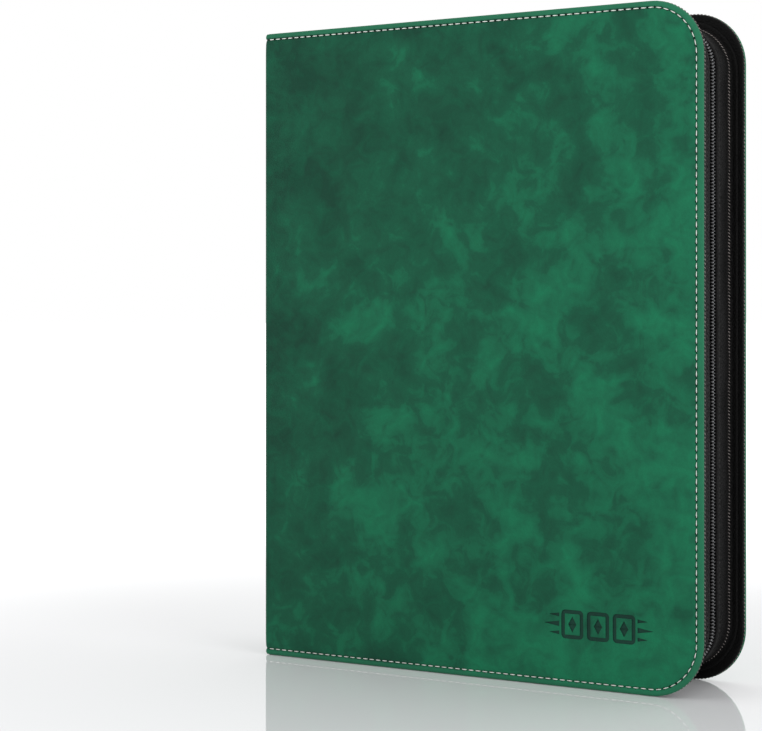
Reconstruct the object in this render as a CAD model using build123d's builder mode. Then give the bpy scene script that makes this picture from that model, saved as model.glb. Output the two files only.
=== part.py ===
"""Zip-around trading card binder with three rings and nine-pocket pages.

Frame: millimetres, +Z up, the binder stands on its lower edge.  X runs from the
spine (negative) to the fore-edge (positive), the front cover faces -Y, and the
origin is at the bottom centre of the closed binder.
"""
import os
from math import cos, radians, sin, sqrt

from build123d import *

# ---------------------------------------------------------------- driving sizes
HEIGHT = 348.0
WIDTH = 262.0
THICKNESS = 60.0
CORNER_RADIUS = 28.0

LEATHER = 1.0
FOAM = 1.0
BOARD = 2.0
LINING = 1.0
SHELL_RIM = 2.5
LINING_INSET = 0.8
EDGE_ROUND = 1.6
FOLD_RADIUS = 2.5
SPINE_CLEARANCE = 0.3

GUSSET_RECESS_SIDE = 7.0
GUSSET_RECESS_ENDS = 8.0
GUSSET_RADIUS = 24.0
GUSSET_FABRIC = 1.5
FLANGE_WIDTH = 4.0
FLANGE_THICKNESS = 0.8
GUSSET_START_REACH = 17.0
TUCK_GAP = 0.1

ZIP_Y = 1.6
FRONT_GUSSET_EDGE = -2.8
BACK_GUSSET_EDGE = 6.0
TAPE_THICKNESS = 0.6
TAPE_GAP = 1.4
TAPE_UNDERLAP = 5.0
COIL_WIDTH = 2.5
COIL_HEIGHT = 1.8
COIL_GAP = 0.2
COIL_START_REACH = 22.3
STOP_LENGTH = 1.6
STOP_WIDTH = 2.2
STOP_RADIUS = 0.4
STOP_GAP = 0.1
STOP_DROP = 0.3

SLIDER_REACH = 25.5
SLIDER_LENGTH = 13.0
SLIDER_WIDTH = 8.0
PULLER_LENGTH = 31.0
PULLER_WIDTH = 9.0
PULLER_THICKNESS = 1.4

RING_SPACING = 107.95
RING_RADIUS = 17.0
RING_WIRE = 3.2
RING_REACH = 27.0
RING_FOOT_ANGLE = 130.0
RING_HALF_GAP_ANGLE = 0.4
PLATE_LENGTH = 278.0
PLATE_HALF_WIDTH = 12.0
PLATE_HEIGHT = 7.5
PLATE_METAL = 0.8
BLADE_LENGTH = 236.0
BLADE_METAL = 1.0
BLADE_HALF_WIDTH = 9.9
BLADE_HALF_GAP = 0.3
RIVET_OFFSET = 128.0
RIVET_RADIUS = 2.0
RIVET_HOLE_RADIUS = 2.05
RIVET_HEAD_RADIUS = 3.6
RIVET_HEAD_HEIGHT = 1.4
RIVET_HEAD_TAPER = 35
RIVET_HEAD_GAP = 0.02
RIVET_OVERLAP = 0.15
LEG_LENGTH = 14.5
LEG_SLOT_LENGTH = 5.2
LEG_SLOT_WIDTH = 7.0
LEG_SLOT_DEPTH = 8.3
LEG_SLOT_RISE = 5.5
LEG_SLOT_OFFSET = 8.1

CARD_WIDTH = 63.5
CARD_HEIGHT = 88.9
CARD_THICKNESS = 0.35
CARD_RADIUS = 3.0
CARD_CLEARANCE = 0.03
POCKET_PLAY = 0.35
POCKET_PITCH_X = 66.6
POCKET_PITCH_Z = 94.6
PANEL_WIDTH = 201.0
PANEL_HEIGHT = 286.0
PANEL_RADIUS = 3.0
SHEET_THICKNESS = 0.25
FILM_THICKNESS = 0.5
BINDING_THICKNESS = 0.3
STACK_BINDING_THICKNESS = 0.5
HOLE_DIAMETER = 8.5
HOLE_TO_PANEL = 9.0
HOLE_TO_EDGE = 8.0
STACK_PAGES = 6
STACK_PITCH = 1.31

# ---------------------------------------------------------------- derived places
COVER_THICKNESS = LEATHER + FOAM + BOARD + LINING
HALF_WIDTH = WIDTH / 2
HALF_THICKNESS = THICKNESS / 2
MID_HEIGHT = HEIGHT / 2
SPINE_OUTER_X = -HALF_WIDTH
SPINE_INNER_X = SPINE_OUTER_X + COVER_THICKNESS
COVER_START_X = SPINE_OUTER_X + FOLD_RADIUS + SPINE_CLEARANCE
COVER_INNER_Y = HALF_THICKNESS - COVER_THICKNESS
SPINE_HALF = COVER_INNER_Y - SPINE_CLEARANCE
GUSSET_X = HALF_WIDTH - GUSSET_RECESS_SIDE
GUSSET_START = SPINE_OUTER_X + GUSSET_START_REACH
COIL_START = SPINE_OUTER_X + COIL_START_REACH
SLIDER_X = SPINE_OUTER_X + SLIDER_REACH
RING_CENTRE_X = SPINE_OUTER_X + RING_REACH
GUSSET_TOP = HEIGHT - GUSSET_RECESS_ENDS
TAPE_TOP = GUSSET_TOP - GUSSET_FABRIC
COIL_TOP = TAPE_TOP + COIL_HEIGHT
SLIDER_NOSE_X = SLIDER_X - SLIDER_LENGTH / 2
RING_LEVELS = [MID_HEIGHT - RING_SPACING, MID_HEIGHT, MID_HEIGHT + RING_SPACING]
RING_NAMES = ["lower", "middle", "upper"]
BLADE_X = SPINE_INNER_X + 0.6
PLATE_BASE_X = SPINE_INNER_X + 0.05
PLATE_TOP_X = PLATE_BASE_X + PLATE_HEIGHT

FRONT = -1
BACK = 1
SIDES = {FRONT: "front", BACK: "back"}
# Leaf name, distance of its binding from the ring centre plane, its thickness, page count.
LEAVES = [
    ("leaf_2", 12.3, BINDING_THICKNESS, 1),
    ("leaf_1", 13.4, BINDING_THICKNESS, 1),
    ("stack", 14.45, STACK_BINDING_THICKNESS, STACK_PAGES),
]

os.makedirs("parts", exist_ok=True)


def save(builder, node_name):
    """Label a finished sub-part and write its STEP file."""
    builder.part.label = node_name
    export_step(builder.part, f"parts/{node_name}.step")


def upright_plane(y):
    """The X-Z plane at depth y, whose normal points to -Y."""
    return Plane.XZ.offset(-y)


def panel_outline(x_start, x_end, z_low, z_high, radius, mode=Mode.ADD):
    """A rectangle in an X-Z sketch with its two fore-edge corners rounded."""
    with BuildSketch(mode=Mode.PRIVATE) as outline:
        with Locations(((x_start + x_end) / 2, (z_low + z_high) / 2)):
            Rectangle(x_end - x_start, z_high - z_low)
        fillet(outline.vertices().group_by(Axis.X)[-1], radius=radius)
    add(outline.sketch, mode=mode)


def gusset_outline(inset, x_start, mode=Mode.ADD):
    """The gusset's outer line, drawn in by an inset."""
    panel_outline(
        x_start,
        GUSSET_X - inset,
        GUSSET_RECESS_ENDS + inset,
        GUSSET_TOP - inset,
        GUSSET_RADIUS - inset,
        mode,
    )


def gusset_band(outer_inset, inner_inset, x_start):
    """The U-shaped band between two insets, open at the spine."""
    gusset_outline(outer_inset, x_start)
    gusset_outline(inner_inset, x_start - GUSSET_RADIUS, Mode.SUBTRACT)


# ---------------------------------------------------------------- covers
def cover_layer(side, outer_depth, thickness, inset, start_x, node_name):
    """One flat layer of a cover, measured inward from the cover's outer face."""
    outer_y = side * (HALF_THICKNESS - outer_depth)
    with BuildPart() as layer:
        with BuildSketch(upright_plane(outer_y)):
            panel_outline(
                start_x,
                HALF_WIDTH - inset,
                inset,
                HEIGHT - inset,
                CORNER_RADIUS - inset,
            )
        extrude(amount=side * thickness)
    save(layer, node_name)


def cover_leather(side, node_name):
    """The outer skin with its turned edge, hollowed for foam and board."""
    outer_y = side * HALF_THICKNESS
    skin_depth = LEATHER + FOAM + BOARD
    with BuildPart() as leather:
        with BuildSketch(upright_plane(outer_y)):
            panel_outline(COVER_START_X, HALF_WIDTH, 0, HEIGHT, CORNER_RADIUS)
        extrude(amount=side * skin_depth)
        outer_face = leather.faces().sort_by(Axis.Y)[0 if side == FRONT else -1]
        rounded_edges = outer_face.edges().sort_by(Axis.X)[1:]
        fillet(rounded_edges, radius=EDGE_ROUND)
        with BuildSketch(upright_plane(outer_y - side * LEATHER)):
            panel_outline(
                COVER_START_X + SHELL_RIM,
                HALF_WIDTH - SHELL_RIM,
                SHELL_RIM,
                HEIGHT - SHELL_RIM,
                CORNER_RADIUS - SHELL_RIM,
            )
        extrude(amount=side * (skin_depth - LEATHER), mode=Mode.SUBTRACT)
    save(leather, node_name)


for side, side_name in SIDES.items():
    core_start = COVER_START_X + SHELL_RIM
    cover_leather(side, f"{side_name}_cover_leather")
    cover_layer(side, LEATHER, FOAM, SHELL_RIM, core_start, f"{side_name}_cover_foam")
    cover_layer(side, LEATHER + FOAM, BOARD, SHELL_RIM, core_start, f"{side_name}_cover_board")
    cover_layer(
        side,
        LEATHER + FOAM + BOARD,
        LINING,
        LINING_INSET,
        COVER_START_X,
        f"{side_name}_cover_lining",
    )


# ---------------------------------------------------------------- spine
def spine_layer(outer_depth, thickness, inset, node_name):
    """One flat layer of the spine, measured inward from its outer face."""
    with BuildPart() as layer:
        with BuildSketch(Plane.XY.offset(inset)):
            with Locations((SPINE_OUTER_X + outer_depth + thickness / 2, 0)):
                Rectangle(thickness, 2 * SPINE_HALF)
        extrude(amount=HEIGHT - 2 * inset)
    save(layer, node_name)


spine_layer(0, LEATHER, 0, "spine_leather")
spine_layer(LEATHER, FOAM + BOARD, SHELL_RIM, "spine_board")
spine_layer(LEATHER + FOAM + BOARD, LINING, LINING_INSET, "spine_lining")


def hinge_fold(side, node_name):
    """The strip of leather that turns the corner from spine to cover."""
    bend_x = SPINE_OUTER_X + FOLD_RADIUS
    bend_y = side * (HALF_THICKNESS - FOLD_RADIUS)
    inner_radius = FOLD_RADIUS - LEATHER
    with BuildPart() as fold:
        with BuildSketch():
            with BuildLine():
                Line((SPINE_OUTER_X, side * SPINE_HALF), (SPINE_OUTER_X, bend_y))
                RadiusArc(
                    (SPINE_OUTER_X, bend_y),
                    (bend_x, side * HALF_THICKNESS),
                    -side * FOLD_RADIUS,
                )
                Line(
                    (bend_x, side * HALF_THICKNESS),
                    (bend_x, side * (HALF_THICKNESS - LEATHER)),
                )
                RadiusArc(
                    (bend_x, side * (HALF_THICKNESS - LEATHER)),
                    (SPINE_OUTER_X + LEATHER, bend_y),
                    side * inner_radius,
                )
                Line(
                    (SPINE_OUTER_X + LEATHER, bend_y),
                    (SPINE_OUTER_X + LEATHER, side * SPINE_HALF),
                )
                Line(
                    (SPINE_OUTER_X + LEATHER, side * SPINE_HALF),
                    (SPINE_OUTER_X, side * SPINE_HALF),
                )
            make_face()
        extrude(amount=HEIGHT)
    save(fold, node_name)


for side, side_name in SIDES.items():
    hinge_fold(side, f"{side_name}_hinge_fold")


# ---------------------------------------------------------------- gussets
def gusset(side, edge_y, node_name):
    """The fabric wall on a cover's inner face, with its sewn flange."""
    base_y = side * COVER_INNER_Y
    with BuildPart() as wall:
        with BuildSketch(upright_plane(base_y)):
            gusset_band(0, GUSSET_FABRIC, GUSSET_START)
        extrude(amount=base_y - edge_y)
        with BuildSketch(upright_plane(base_y)):
            gusset_band(-FLANGE_WIDTH, GUSSET_FABRIC, GUSSET_START)
        extrude(amount=side * FLANGE_THICKNESS)
    save(wall, node_name)


def spine_tuck(side, inner_y, node_name):
    """The folded fabric that carries a gusset on to the spine, top and bottom."""
    outer_y = side * SPINE_HALF
    start_x = SPINE_INNER_X + TUCK_GAP
    end_x = GUSSET_START - TUCK_GAP
    with BuildPart() as tuck:
        for low_z in (GUSSET_RECESS_ENDS, TAPE_TOP):
            with BuildSketch(Plane.XY.offset(low_z)):
                with Locations(((start_x + end_x) / 2, (outer_y + inner_y) / 2)):
                    Rectangle(end_x - start_x, abs(outer_y - inner_y))
            extrude(amount=GUSSET_FABRIC)
    save(tuck, node_name)


gusset(FRONT, FRONT_GUSSET_EDGE, "front_gusset")
gusset(BACK, BACK_GUSSET_EDGE, "back_gusset")
spine_tuck(FRONT, ZIP_Y - COIL_GAP, "front_spine_tuck")
spine_tuck(BACK, ZIP_Y + COIL_GAP, "back_spine_tuck")


# ---------------------------------------------------------------- zip chain
def zip_tape(side, edge_y, node_name):
    """The woven tape behind a gusset's free edge, all round."""
    outer_y = edge_y + side * TAPE_UNDERLAP
    inner_y = ZIP_Y + side * TAPE_GAP
    with BuildPart() as tape:
        with BuildSketch(upright_plane(outer_y)):
            gusset_band(GUSSET_FABRIC, GUSSET_FABRIC + TAPE_THICKNESS, GUSSET_START)
        extrude(amount=outer_y - inner_y)
    save(tape, node_name)


def zip_coil(side, node_name):
    """One half of the coil, a plain bar on the outer face of its tape."""
    inner_y = ZIP_Y + side * COIL_GAP
    with BuildPart() as coil:
        with BuildSketch(upright_plane(inner_y)):
            gusset_band(GUSSET_FABRIC - COIL_HEIGHT, GUSSET_FABRIC, COIL_START)
        extrude(amount=-side * COIL_WIDTH)
    save(coil, node_name)


def zip_end_stops(node_name):
    """The crimped stops on the back tape: past the parked slider, and at the lower end."""
    stop_height = COIL_HEIGHT - STOP_DROP
    stop_y = ZIP_Y + TAPE_GAP + STOP_GAP + STOP_WIDTH / 2
    upper_stop = ((GUSSET_START + SLIDER_NOSE_X) / 2, TAPE_TOP)
    lower_stop = (COIL_START - STOP_LENGTH, HEIGHT - TAPE_TOP - stop_height)
    with BuildPart() as stops:
        for stop_x, base_z in (upper_stop, lower_stop):
            with BuildSketch(Plane.XY.offset(base_z)):
                with Locations((stop_x, stop_y)):
                    RectangleRounded(STOP_LENGTH, STOP_WIDTH, STOP_RADIUS)
            extrude(amount=stop_height)
    save(stops, node_name)


zip_tape(FRONT, FRONT_GUSSET_EDGE, "front_zip_tape")
zip_tape(BACK, BACK_GUSSET_EDGE, "back_zip_tape")
zip_coil(FRONT, "front_zip_coil")
zip_coil(BACK, "back_zip_coil")
zip_end_stops("zip_end_stops")

# ---------------------------------------------------------------- slider and puller
PLATE_GAP = 0.4
SLIDER_METAL = 1.2
SLIDER_SLOT = 1.4
SLIDER_FLANGE = 0.8
SLIDER_RADIUS = 2.0
SLIDER_EDGE_ROUND = 0.5
CUT_THROUGH = 1.0
WEDGE_LENGTH = 2.6
WEDGE_WIDTH = 2.0
WEDGE_SETBACK = 1.5
slider_tape_low = TAPE_TOP - TAPE_THICKNESS - PLATE_GAP
slider_top = COIL_TOP + PLATE_GAP + SLIDER_METAL

with BuildPart() as slider_body:
    with BuildSketch(Plane.XY.offset(slider_tape_low - SLIDER_METAL)):
        with Locations((SLIDER_X, ZIP_Y)):
            RectangleRounded(SLIDER_LENGTH, SLIDER_WIDTH, SLIDER_RADIUS)
    extrude(amount=slider_top - slider_tape_low + SLIDER_METAL)
    # The channel for both rows of coil, open at nose and tail.
    with BuildSketch(Plane.XY.offset(slider_tape_low)):
        with Locations((SLIDER_X, ZIP_Y)):
            Rectangle(SLIDER_LENGTH + CUT_THROUGH, SLIDER_WIDTH - 2 * SLIDER_FLANGE)
    extrude(amount=slider_top - SLIDER_METAL - slider_tape_low, mode=Mode.SUBTRACT)
    # The slot on each side that the tapes leave through.
    with BuildSketch(Plane.XY.offset(slider_tape_low)):
        with Locations((SLIDER_X, ZIP_Y)):
            Rectangle(SLIDER_LENGTH + CUT_THROUGH, SLIDER_WIDTH + CUT_THROUGH)
    extrude(amount=SLIDER_SLOT, mode=Mode.SUBTRACT)
    # The wedge at the nose joins the two plates and parts the coil rows.
    with BuildSketch(Plane.XY.offset(slider_tape_low)):
        with Locations((SLIDER_NOSE_X + WEDGE_SETBACK, ZIP_Y)):
            Rectangle(WEDGE_LENGTH, WEDGE_WIDTH)
    extrude(amount=slider_top - SLIDER_METAL - slider_tape_low)
    fillet(slider_body.faces().sort_by(Axis.Z)[-1].outer_wire().edges(), radius=SLIDER_EDGE_ROUND)
save(slider_body, "slider_body")

BAIL_X = SLIDER_X + 0.5
BAIL_RADIUS = 1.2
BAIL_WIDTH = 1.6
BAIL_METAL = 0.8
BAIL_HALF_SPAN = 2.1
BAIL_RISE = 3.1
PIVOT_Z = slider_top + 1.3
PIVOT_RADIUS = 0.7

with BuildPart() as slider_bail:
    with BuildSketch(upright_plane(ZIP_Y + BAIL_WIDTH / 2)) as bail_profile:
        with Locations((BAIL_X, slider_top + BAIL_RISE / 2)):
            Rectangle(2 * BAIL_HALF_SPAN, BAIL_RISE)
        fillet(bail_profile.vertices().group_by(Axis.Y)[-1], radius=BAIL_RADIUS)
        with Locations((BAIL_X, slider_top + (BAIL_RISE - BAIL_METAL) / 2)):
            Rectangle(
                2 * (BAIL_HALF_SPAN - BAIL_METAL),
                BAIL_RISE - BAIL_METAL,
                mode=Mode.SUBTRACT,
            )
    extrude(amount=BAIL_WIDTH)
save(slider_bail, "slider_bail")

ARM_WIDTH = 1.5
ARM_OVERLAP = 2.0
WINDOW_WIDTH = 3.0
WINDOW_LENGTH = 5.0
TAB_RADIUS = 3.6

with BuildPart() as zip_puller:
    with BuildSketch(Plane.XY.offset(PIVOT_Z - PULLER_THICKNESS / 2)):
        with Locations((BAIL_X + (WINDOW_LENGTH + ARM_OVERLAP) / 2, ZIP_Y)):
            Rectangle(WINDOW_LENGTH + ARM_OVERLAP, WINDOW_WIDTH + 2 * ARM_WIDTH)
        with Locations((BAIL_X + WINDOW_LENGTH + (PULLER_LENGTH - WINDOW_LENGTH) / 2, ZIP_Y)):
            RectangleRounded(PULLER_LENGTH - WINDOW_LENGTH, PULLER_WIDTH, TAB_RADIUS)
        with Locations((BAIL_X + WINDOW_LENGTH / 2, ZIP_Y)):
            Rectangle(WINDOW_LENGTH, WINDOW_WIDTH, mode=Mode.SUBTRACT)
    extrude(amount=PULLER_THICKNESS)
    with BuildSketch(upright_plane(ZIP_Y + WINDOW_WIDTH / 2 + ARM_WIDTH)):
        with Locations((BAIL_X, PIVOT_Z)):
            Circle(PIVOT_RADIUS)
    extrude(amount=WINDOW_WIDTH + 2 * ARM_WIDTH)
save(zip_puller, "zip_puller")

# ---------------------------------------------------------------- ring mechanism
with BuildPart() as ring_plate:
    with BuildSketch(Plane.XY.offset(MID_HEIGHT - PLATE_LENGTH / 2)):
        with BuildLine():
            ThreePointArc(
                (PLATE_BASE_X, -PLATE_HALF_WIDTH),
                (PLATE_TOP_X, 0),
                (PLATE_BASE_X, PLATE_HALF_WIDTH),
            )
            Line(
                (PLATE_BASE_X, PLATE_HALF_WIDTH),
                (PLATE_BASE_X, PLATE_HALF_WIDTH - PLATE_METAL),
            )
            ThreePointArc(
                (PLATE_BASE_X, PLATE_HALF_WIDTH - PLATE_METAL),
                (PLATE_TOP_X - PLATE_METAL, 0),
                (PLATE_BASE_X, -PLATE_HALF_WIDTH + PLATE_METAL),
            )
            Line(
                (PLATE_BASE_X, -PLATE_HALF_WIDTH + PLATE_METAL),
                (PLATE_BASE_X, -PLATE_HALF_WIDTH),
            )
        make_face()
    extrude(amount=PLATE_LENGTH)
    # A slot for each ring leg.
    for ring_z in RING_LEVELS:
        with BuildSketch(Plane.XY.offset(ring_z - LEG_SLOT_LENGTH / 2)):
            for slot_y in (LEG_SLOT_OFFSET, -LEG_SLOT_OFFSET):
                with Locations((PLATE_BASE_X + LEG_SLOT_RISE, slot_y)):
                    Rectangle(LEG_SLOT_DEPTH, LEG_SLOT_WIDTH)
        extrude(amount=LEG_SLOT_LENGTH, mode=Mode.SUBTRACT)
    # A hole for each rivet.
    with BuildSketch(Plane.YZ.offset(PLATE_TOP_X - 2 * PLATE_METAL)):
        with Locations((0, MID_HEIGHT - RIVET_OFFSET), (0, MID_HEIGHT + RIVET_OFFSET)):
            Circle(RIVET_HOLE_RADIUS)
    extrude(amount=4 * PLATE_METAL, mode=Mode.SUBTRACT)
save(ring_plate, "ring_plate")

with BuildPart() as plate_rivets:
    for rivet_z in (MID_HEIGHT - RIVET_OFFSET, MID_HEIGHT + RIVET_OFFSET):
        with BuildSketch(Plane.YZ.offset(SPINE_INNER_X)):
            with Locations((0, rivet_z)):
                Circle(RIVET_RADIUS)
        extrude(amount=PLATE_HEIGHT + RIVET_OVERLAP)
        with BuildSketch(Plane.YZ.offset(PLATE_TOP_X + RIVET_HEAD_GAP)):
            with Locations((0, rivet_z)):
                Circle(RIVET_HEAD_RADIUS)
        extrude(amount=RIVET_HEAD_HEIGHT, taper=RIVET_HEAD_TAPER)
save(plate_rivets, "plate_rivets")


def ring_blade(side, node_name):
    """The sprung steel blade under the plate that one row of half rings stands on."""
    with BuildPart() as blade:
        with BuildSketch(Plane.XY.offset(MID_HEIGHT - BLADE_LENGTH / 2)):
            with Locations((BLADE_X + BLADE_METAL / 2, side * (BLADE_HALF_WIDTH + BLADE_HALF_GAP) / 2)):
                Rectangle(BLADE_METAL, BLADE_HALF_WIDTH - BLADE_HALF_GAP)
        extrude(amount=BLADE_LENGTH)
    save(blade, node_name)


def half_ring(side, ring_z, node_name):
    """Half of a round ring: a wire arc from the crown, then a straight leg."""
    foot_x = RING_RADIUS * cos(radians(RING_FOOT_ANGLE))
    foot_y = RING_RADIUS * sin(radians(RING_FOOT_ANGLE))
    leg_x = -LEG_LENGTH * sin(radians(RING_FOOT_ANGLE))
    leg_y = LEG_LENGTH * cos(radians(RING_FOOT_ANGLE))
    with BuildPart() as ring:
        with BuildLine(Plane.XY.offset(ring_z)) as wire_path:
            CenterArc(
                (RING_CENTRE_X, 0),
                RING_RADIUS,
                side * RING_HALF_GAP_ANGLE,
                side * (RING_FOOT_ANGLE - RING_HALF_GAP_ANGLE),
            )
            Line(
                (RING_CENTRE_X + foot_x, side * foot_y),
                (RING_CENTRE_X + foot_x + leg_x, side * (foot_y + leg_y)),
            )
        with BuildSketch(Plane(origin=wire_path.line @ 0, z_dir=wire_path.line % 0)):
            Circle(RING_WIRE / 2)
        sweep()
        split(bisect_by=Plane.YZ.offset(BLADE_X + BLADE_METAL), keep=Keep.TOP)
    save(ring, node_name)


for side, side_name in SIDES.items():
    ring_blade(side, f"{side_name}_ring_blade")
    for ring_name, ring_z in zip(RING_NAMES, RING_LEVELS):
        half_ring(side, ring_z, f"{side_name}_half_ring_{ring_name}")


# ---------------------------------------------------------------- pages
def leaf_page_depths(leaf_depth, binding_thickness, page_count):
    """Distance of each page's inner face from the ring centre plane."""
    single_page_offset = (SHEET_THICKNESS + FILM_THICKNESS) / 2
    stack_offset = binding_thickness / 2
    first = leaf_depth - (single_page_offset if page_count == 1 else stack_offset)
    return [first + index * STACK_PITCH for index in range(page_count)]


def hole_x(leaf_depth, binding_thickness):
    """The middle of the slanted cut that the ring wire makes through a binding."""
    inner_radius = RING_RADIUS - RING_WIRE / 2
    outer_radius = RING_RADIUS + RING_WIRE / 2
    near = sqrt(inner_radius**2 - (leaf_depth + binding_thickness / 2) ** 2)
    far = sqrt(outer_radius**2 - (leaf_depth - binding_thickness / 2) ** 2)
    return RING_CENTRE_X + (near + far) / 2


def leaf_slabs(side, depths, start_offset, thickness, panel_x, node_name):
    """The white core sheets: one plain panel for each page."""
    with BuildPart() as slabs:
        for depth in depths:
            with BuildSketch(upright_plane(side * (depth + start_offset))):
                with Locations((panel_x + PANEL_WIDTH / 2, MID_HEIGHT)):
                    RectangleRounded(PANEL_WIDTH, PANEL_HEIGHT, PANEL_RADIUS)
            extrude(amount=-side * thickness)
    save(slabs, node_name)


def leaf_pockets(side, depths, panel_x, node_name):
    """The clear film of each page, with nine pockets that open to its sheet."""
    with BuildPart() as pockets:
        for depth in depths:
            with BuildSketch(upright_plane(side * depth)):
                with Locations((panel_x + PANEL_WIDTH / 2, MID_HEIGHT)):
                    RectangleRounded(PANEL_WIDTH, PANEL_HEIGHT, PANEL_RADIUS)
            extrude(amount=-side * FILM_THICKNESS)
            pocket_floor = depth + FILM_THICKNESS - CARD_THICKNESS - CARD_CLEARANCE
            with BuildSketch(upright_plane(side * pocket_floor)):
                with Locations((panel_x + PANEL_WIDTH / 2, MID_HEIGHT)):
                    with GridLocations(POCKET_PITCH_X, POCKET_PITCH_Z, 3, 3):
                        Rectangle(CARD_WIDTH + 2 * POCKET_PLAY, CARD_HEIGHT + 2 * POCKET_PLAY)
            extrude(amount=-side * (CARD_THICKNESS + CARD_CLEARANCE), mode=Mode.SUBTRACT)
    save(pockets, node_name)


def leaf_cards(side, depths, panel_x, node_name):
    """Nine cards in the pockets of each page."""
    with BuildPart() as cards:
        for depth in depths:
            card_face = depth + FILM_THICKNESS - CARD_THICKNESS
            with BuildSketch(upright_plane(side * card_face)):
                with Locations((panel_x + PANEL_WIDTH / 2, MID_HEIGHT)):
                    with GridLocations(POCKET_PITCH_X, POCKET_PITCH_Z, 3, 3):
                        RectangleRounded(CARD_WIDTH, CARD_HEIGHT, CARD_RADIUS)
            extrude(amount=-side * CARD_THICKNESS)
    save(cards, node_name)


def leaf_binding(side, leaf_depth, thickness, punch_x, node_name):
    """The punched margin that hangs on the rings."""
    start_x = punch_x - HOLE_TO_EDGE
    width = HOLE_TO_EDGE + HOLE_TO_PANEL
    with BuildPart() as binding:
        with BuildSketch(upright_plane(side * (leaf_depth - thickness / 2))) as strip:
            with Locations((start_x + width / 2, MID_HEIGHT)):
                Rectangle(width, PANEL_HEIGHT)
            fillet(strip.vertices().group_by(Axis.X)[0], radius=PANEL_RADIUS)
            with Locations(*[(punch_x, ring_z) for ring_z in RING_LEVELS]):
                Circle(HOLE_DIAMETER / 2, mode=Mode.SUBTRACT)
        extrude(amount=-side * thickness)
    save(binding, node_name)


for side, side_name in SIDES.items():
    for leaf_name, leaf_depth, binding_thickness, page_count in LEAVES:
        page_depths = leaf_page_depths(leaf_depth, binding_thickness, page_count)
        punch_x = hole_x(leaf_depth, binding_thickness)
        panel_start = punch_x + HOLE_TO_PANEL
        prefix = f"{side_name}_{leaf_name}"
        leaf_slabs(
            side, page_depths, FILM_THICKNESS, SHEET_THICKNESS, panel_start, f"{prefix}_sheets"
        )
        leaf_pockets(side, page_depths, panel_start, f"{prefix}_pockets")
        leaf_cards(side, page_depths, panel_start, f"{prefix}_cards")
        leaf_binding(side, leaf_depth, binding_thickness, punch_x, f"{prefix}_binding")
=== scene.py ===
"""Looks of a zip-around trading card binder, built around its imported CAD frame.

The file is laid out as a Blender add-on: one operator makes each group of like
pieces, and main() runs them in order.  Meshes are shaped in millimetres in the
frame of the CAD (+X from spine to fore-edge, -Y out of the front cover, +Z up)
and are scaled to metres once, when a piece is finished.
"""
from math import atan2, ceil, cos, hypot, pi, radians, sin, tau

import bmesh
import bpy
from bpy.props import FloatProperty, FloatVectorProperty, IntProperty, PointerProperty
from mathutils import Matrix, Vector, noise
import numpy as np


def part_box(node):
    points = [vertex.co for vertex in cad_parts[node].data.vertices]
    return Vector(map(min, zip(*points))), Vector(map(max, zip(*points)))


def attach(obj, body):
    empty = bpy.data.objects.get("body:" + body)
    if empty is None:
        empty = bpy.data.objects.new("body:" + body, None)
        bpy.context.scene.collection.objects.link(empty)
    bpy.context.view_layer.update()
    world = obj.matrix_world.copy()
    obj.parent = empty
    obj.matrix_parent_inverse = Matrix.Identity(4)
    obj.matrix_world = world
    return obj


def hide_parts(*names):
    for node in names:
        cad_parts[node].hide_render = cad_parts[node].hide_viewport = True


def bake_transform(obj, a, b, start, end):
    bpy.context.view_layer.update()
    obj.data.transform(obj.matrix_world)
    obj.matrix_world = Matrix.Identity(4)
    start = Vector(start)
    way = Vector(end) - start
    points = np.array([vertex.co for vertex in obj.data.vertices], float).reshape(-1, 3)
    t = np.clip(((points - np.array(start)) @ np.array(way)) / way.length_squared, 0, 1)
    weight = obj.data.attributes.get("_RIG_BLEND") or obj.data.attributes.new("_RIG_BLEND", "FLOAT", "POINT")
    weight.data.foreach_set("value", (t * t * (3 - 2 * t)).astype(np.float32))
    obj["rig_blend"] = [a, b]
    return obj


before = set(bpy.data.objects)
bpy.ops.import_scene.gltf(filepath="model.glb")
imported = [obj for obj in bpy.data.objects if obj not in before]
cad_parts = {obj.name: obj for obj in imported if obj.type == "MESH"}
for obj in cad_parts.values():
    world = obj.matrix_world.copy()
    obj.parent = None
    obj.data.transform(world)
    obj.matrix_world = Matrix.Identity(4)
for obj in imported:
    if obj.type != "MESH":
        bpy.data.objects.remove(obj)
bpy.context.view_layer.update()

bl_info = {
    "name": "Trading card binder",
    "version": (1, 0, 0),
    "blender": (4, 5, 0),
    "location": "3D View > Sidebar > Card binder",
    "description": "Builds a zip-around card binder around its CAD frame",
    "category": "Object",
}

MM = 0.001
FRONT, BACK = -1, 1
SIDES = {FRONT: "front", BACK: "back"}
IMAGE_WIDTH = 762
NEAR = 0.004  # two places closer than this, in millimetres, are the same


def frame_box(node):
    """Lowest and highest corner of a CAD node, in millimetres."""
    low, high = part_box(node)
    return low / MM, high / MM


COVER_LOW, COVER_HIGH = frame_box("front_cover_leather")
SPINE_LOW, SPINE_HIGH = frame_box("spine_leather")
GUSSET_LOW, GUSSET_HIGH = frame_box("front_gusset")
BACK_GUSSET_LOW, _ = frame_box("back_gusset")
LINING_LOW, LINING_HIGH = frame_box("spine_lining")
COIL_LOW, COIL_HIGH = frame_box("front_zip_coil")
BACK_COIL_LOW, _ = frame_box("back_zip_coil")

HEIGHT = COVER_HIGH.z
HALF_THICKNESS = -COVER_LOW.y
FORE_X = COVER_HIGH.x
COVER_START = COVER_LOW.x
SPINE_X = SPINE_LOW.x
SPINE_HALF = SPINE_HIGH.y
CORNER_RADIUS = 28.0
LEATHER_BACK = 2.5
LINING_FACE = 5.0
FOLD_RADIUS = 2.5

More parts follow.
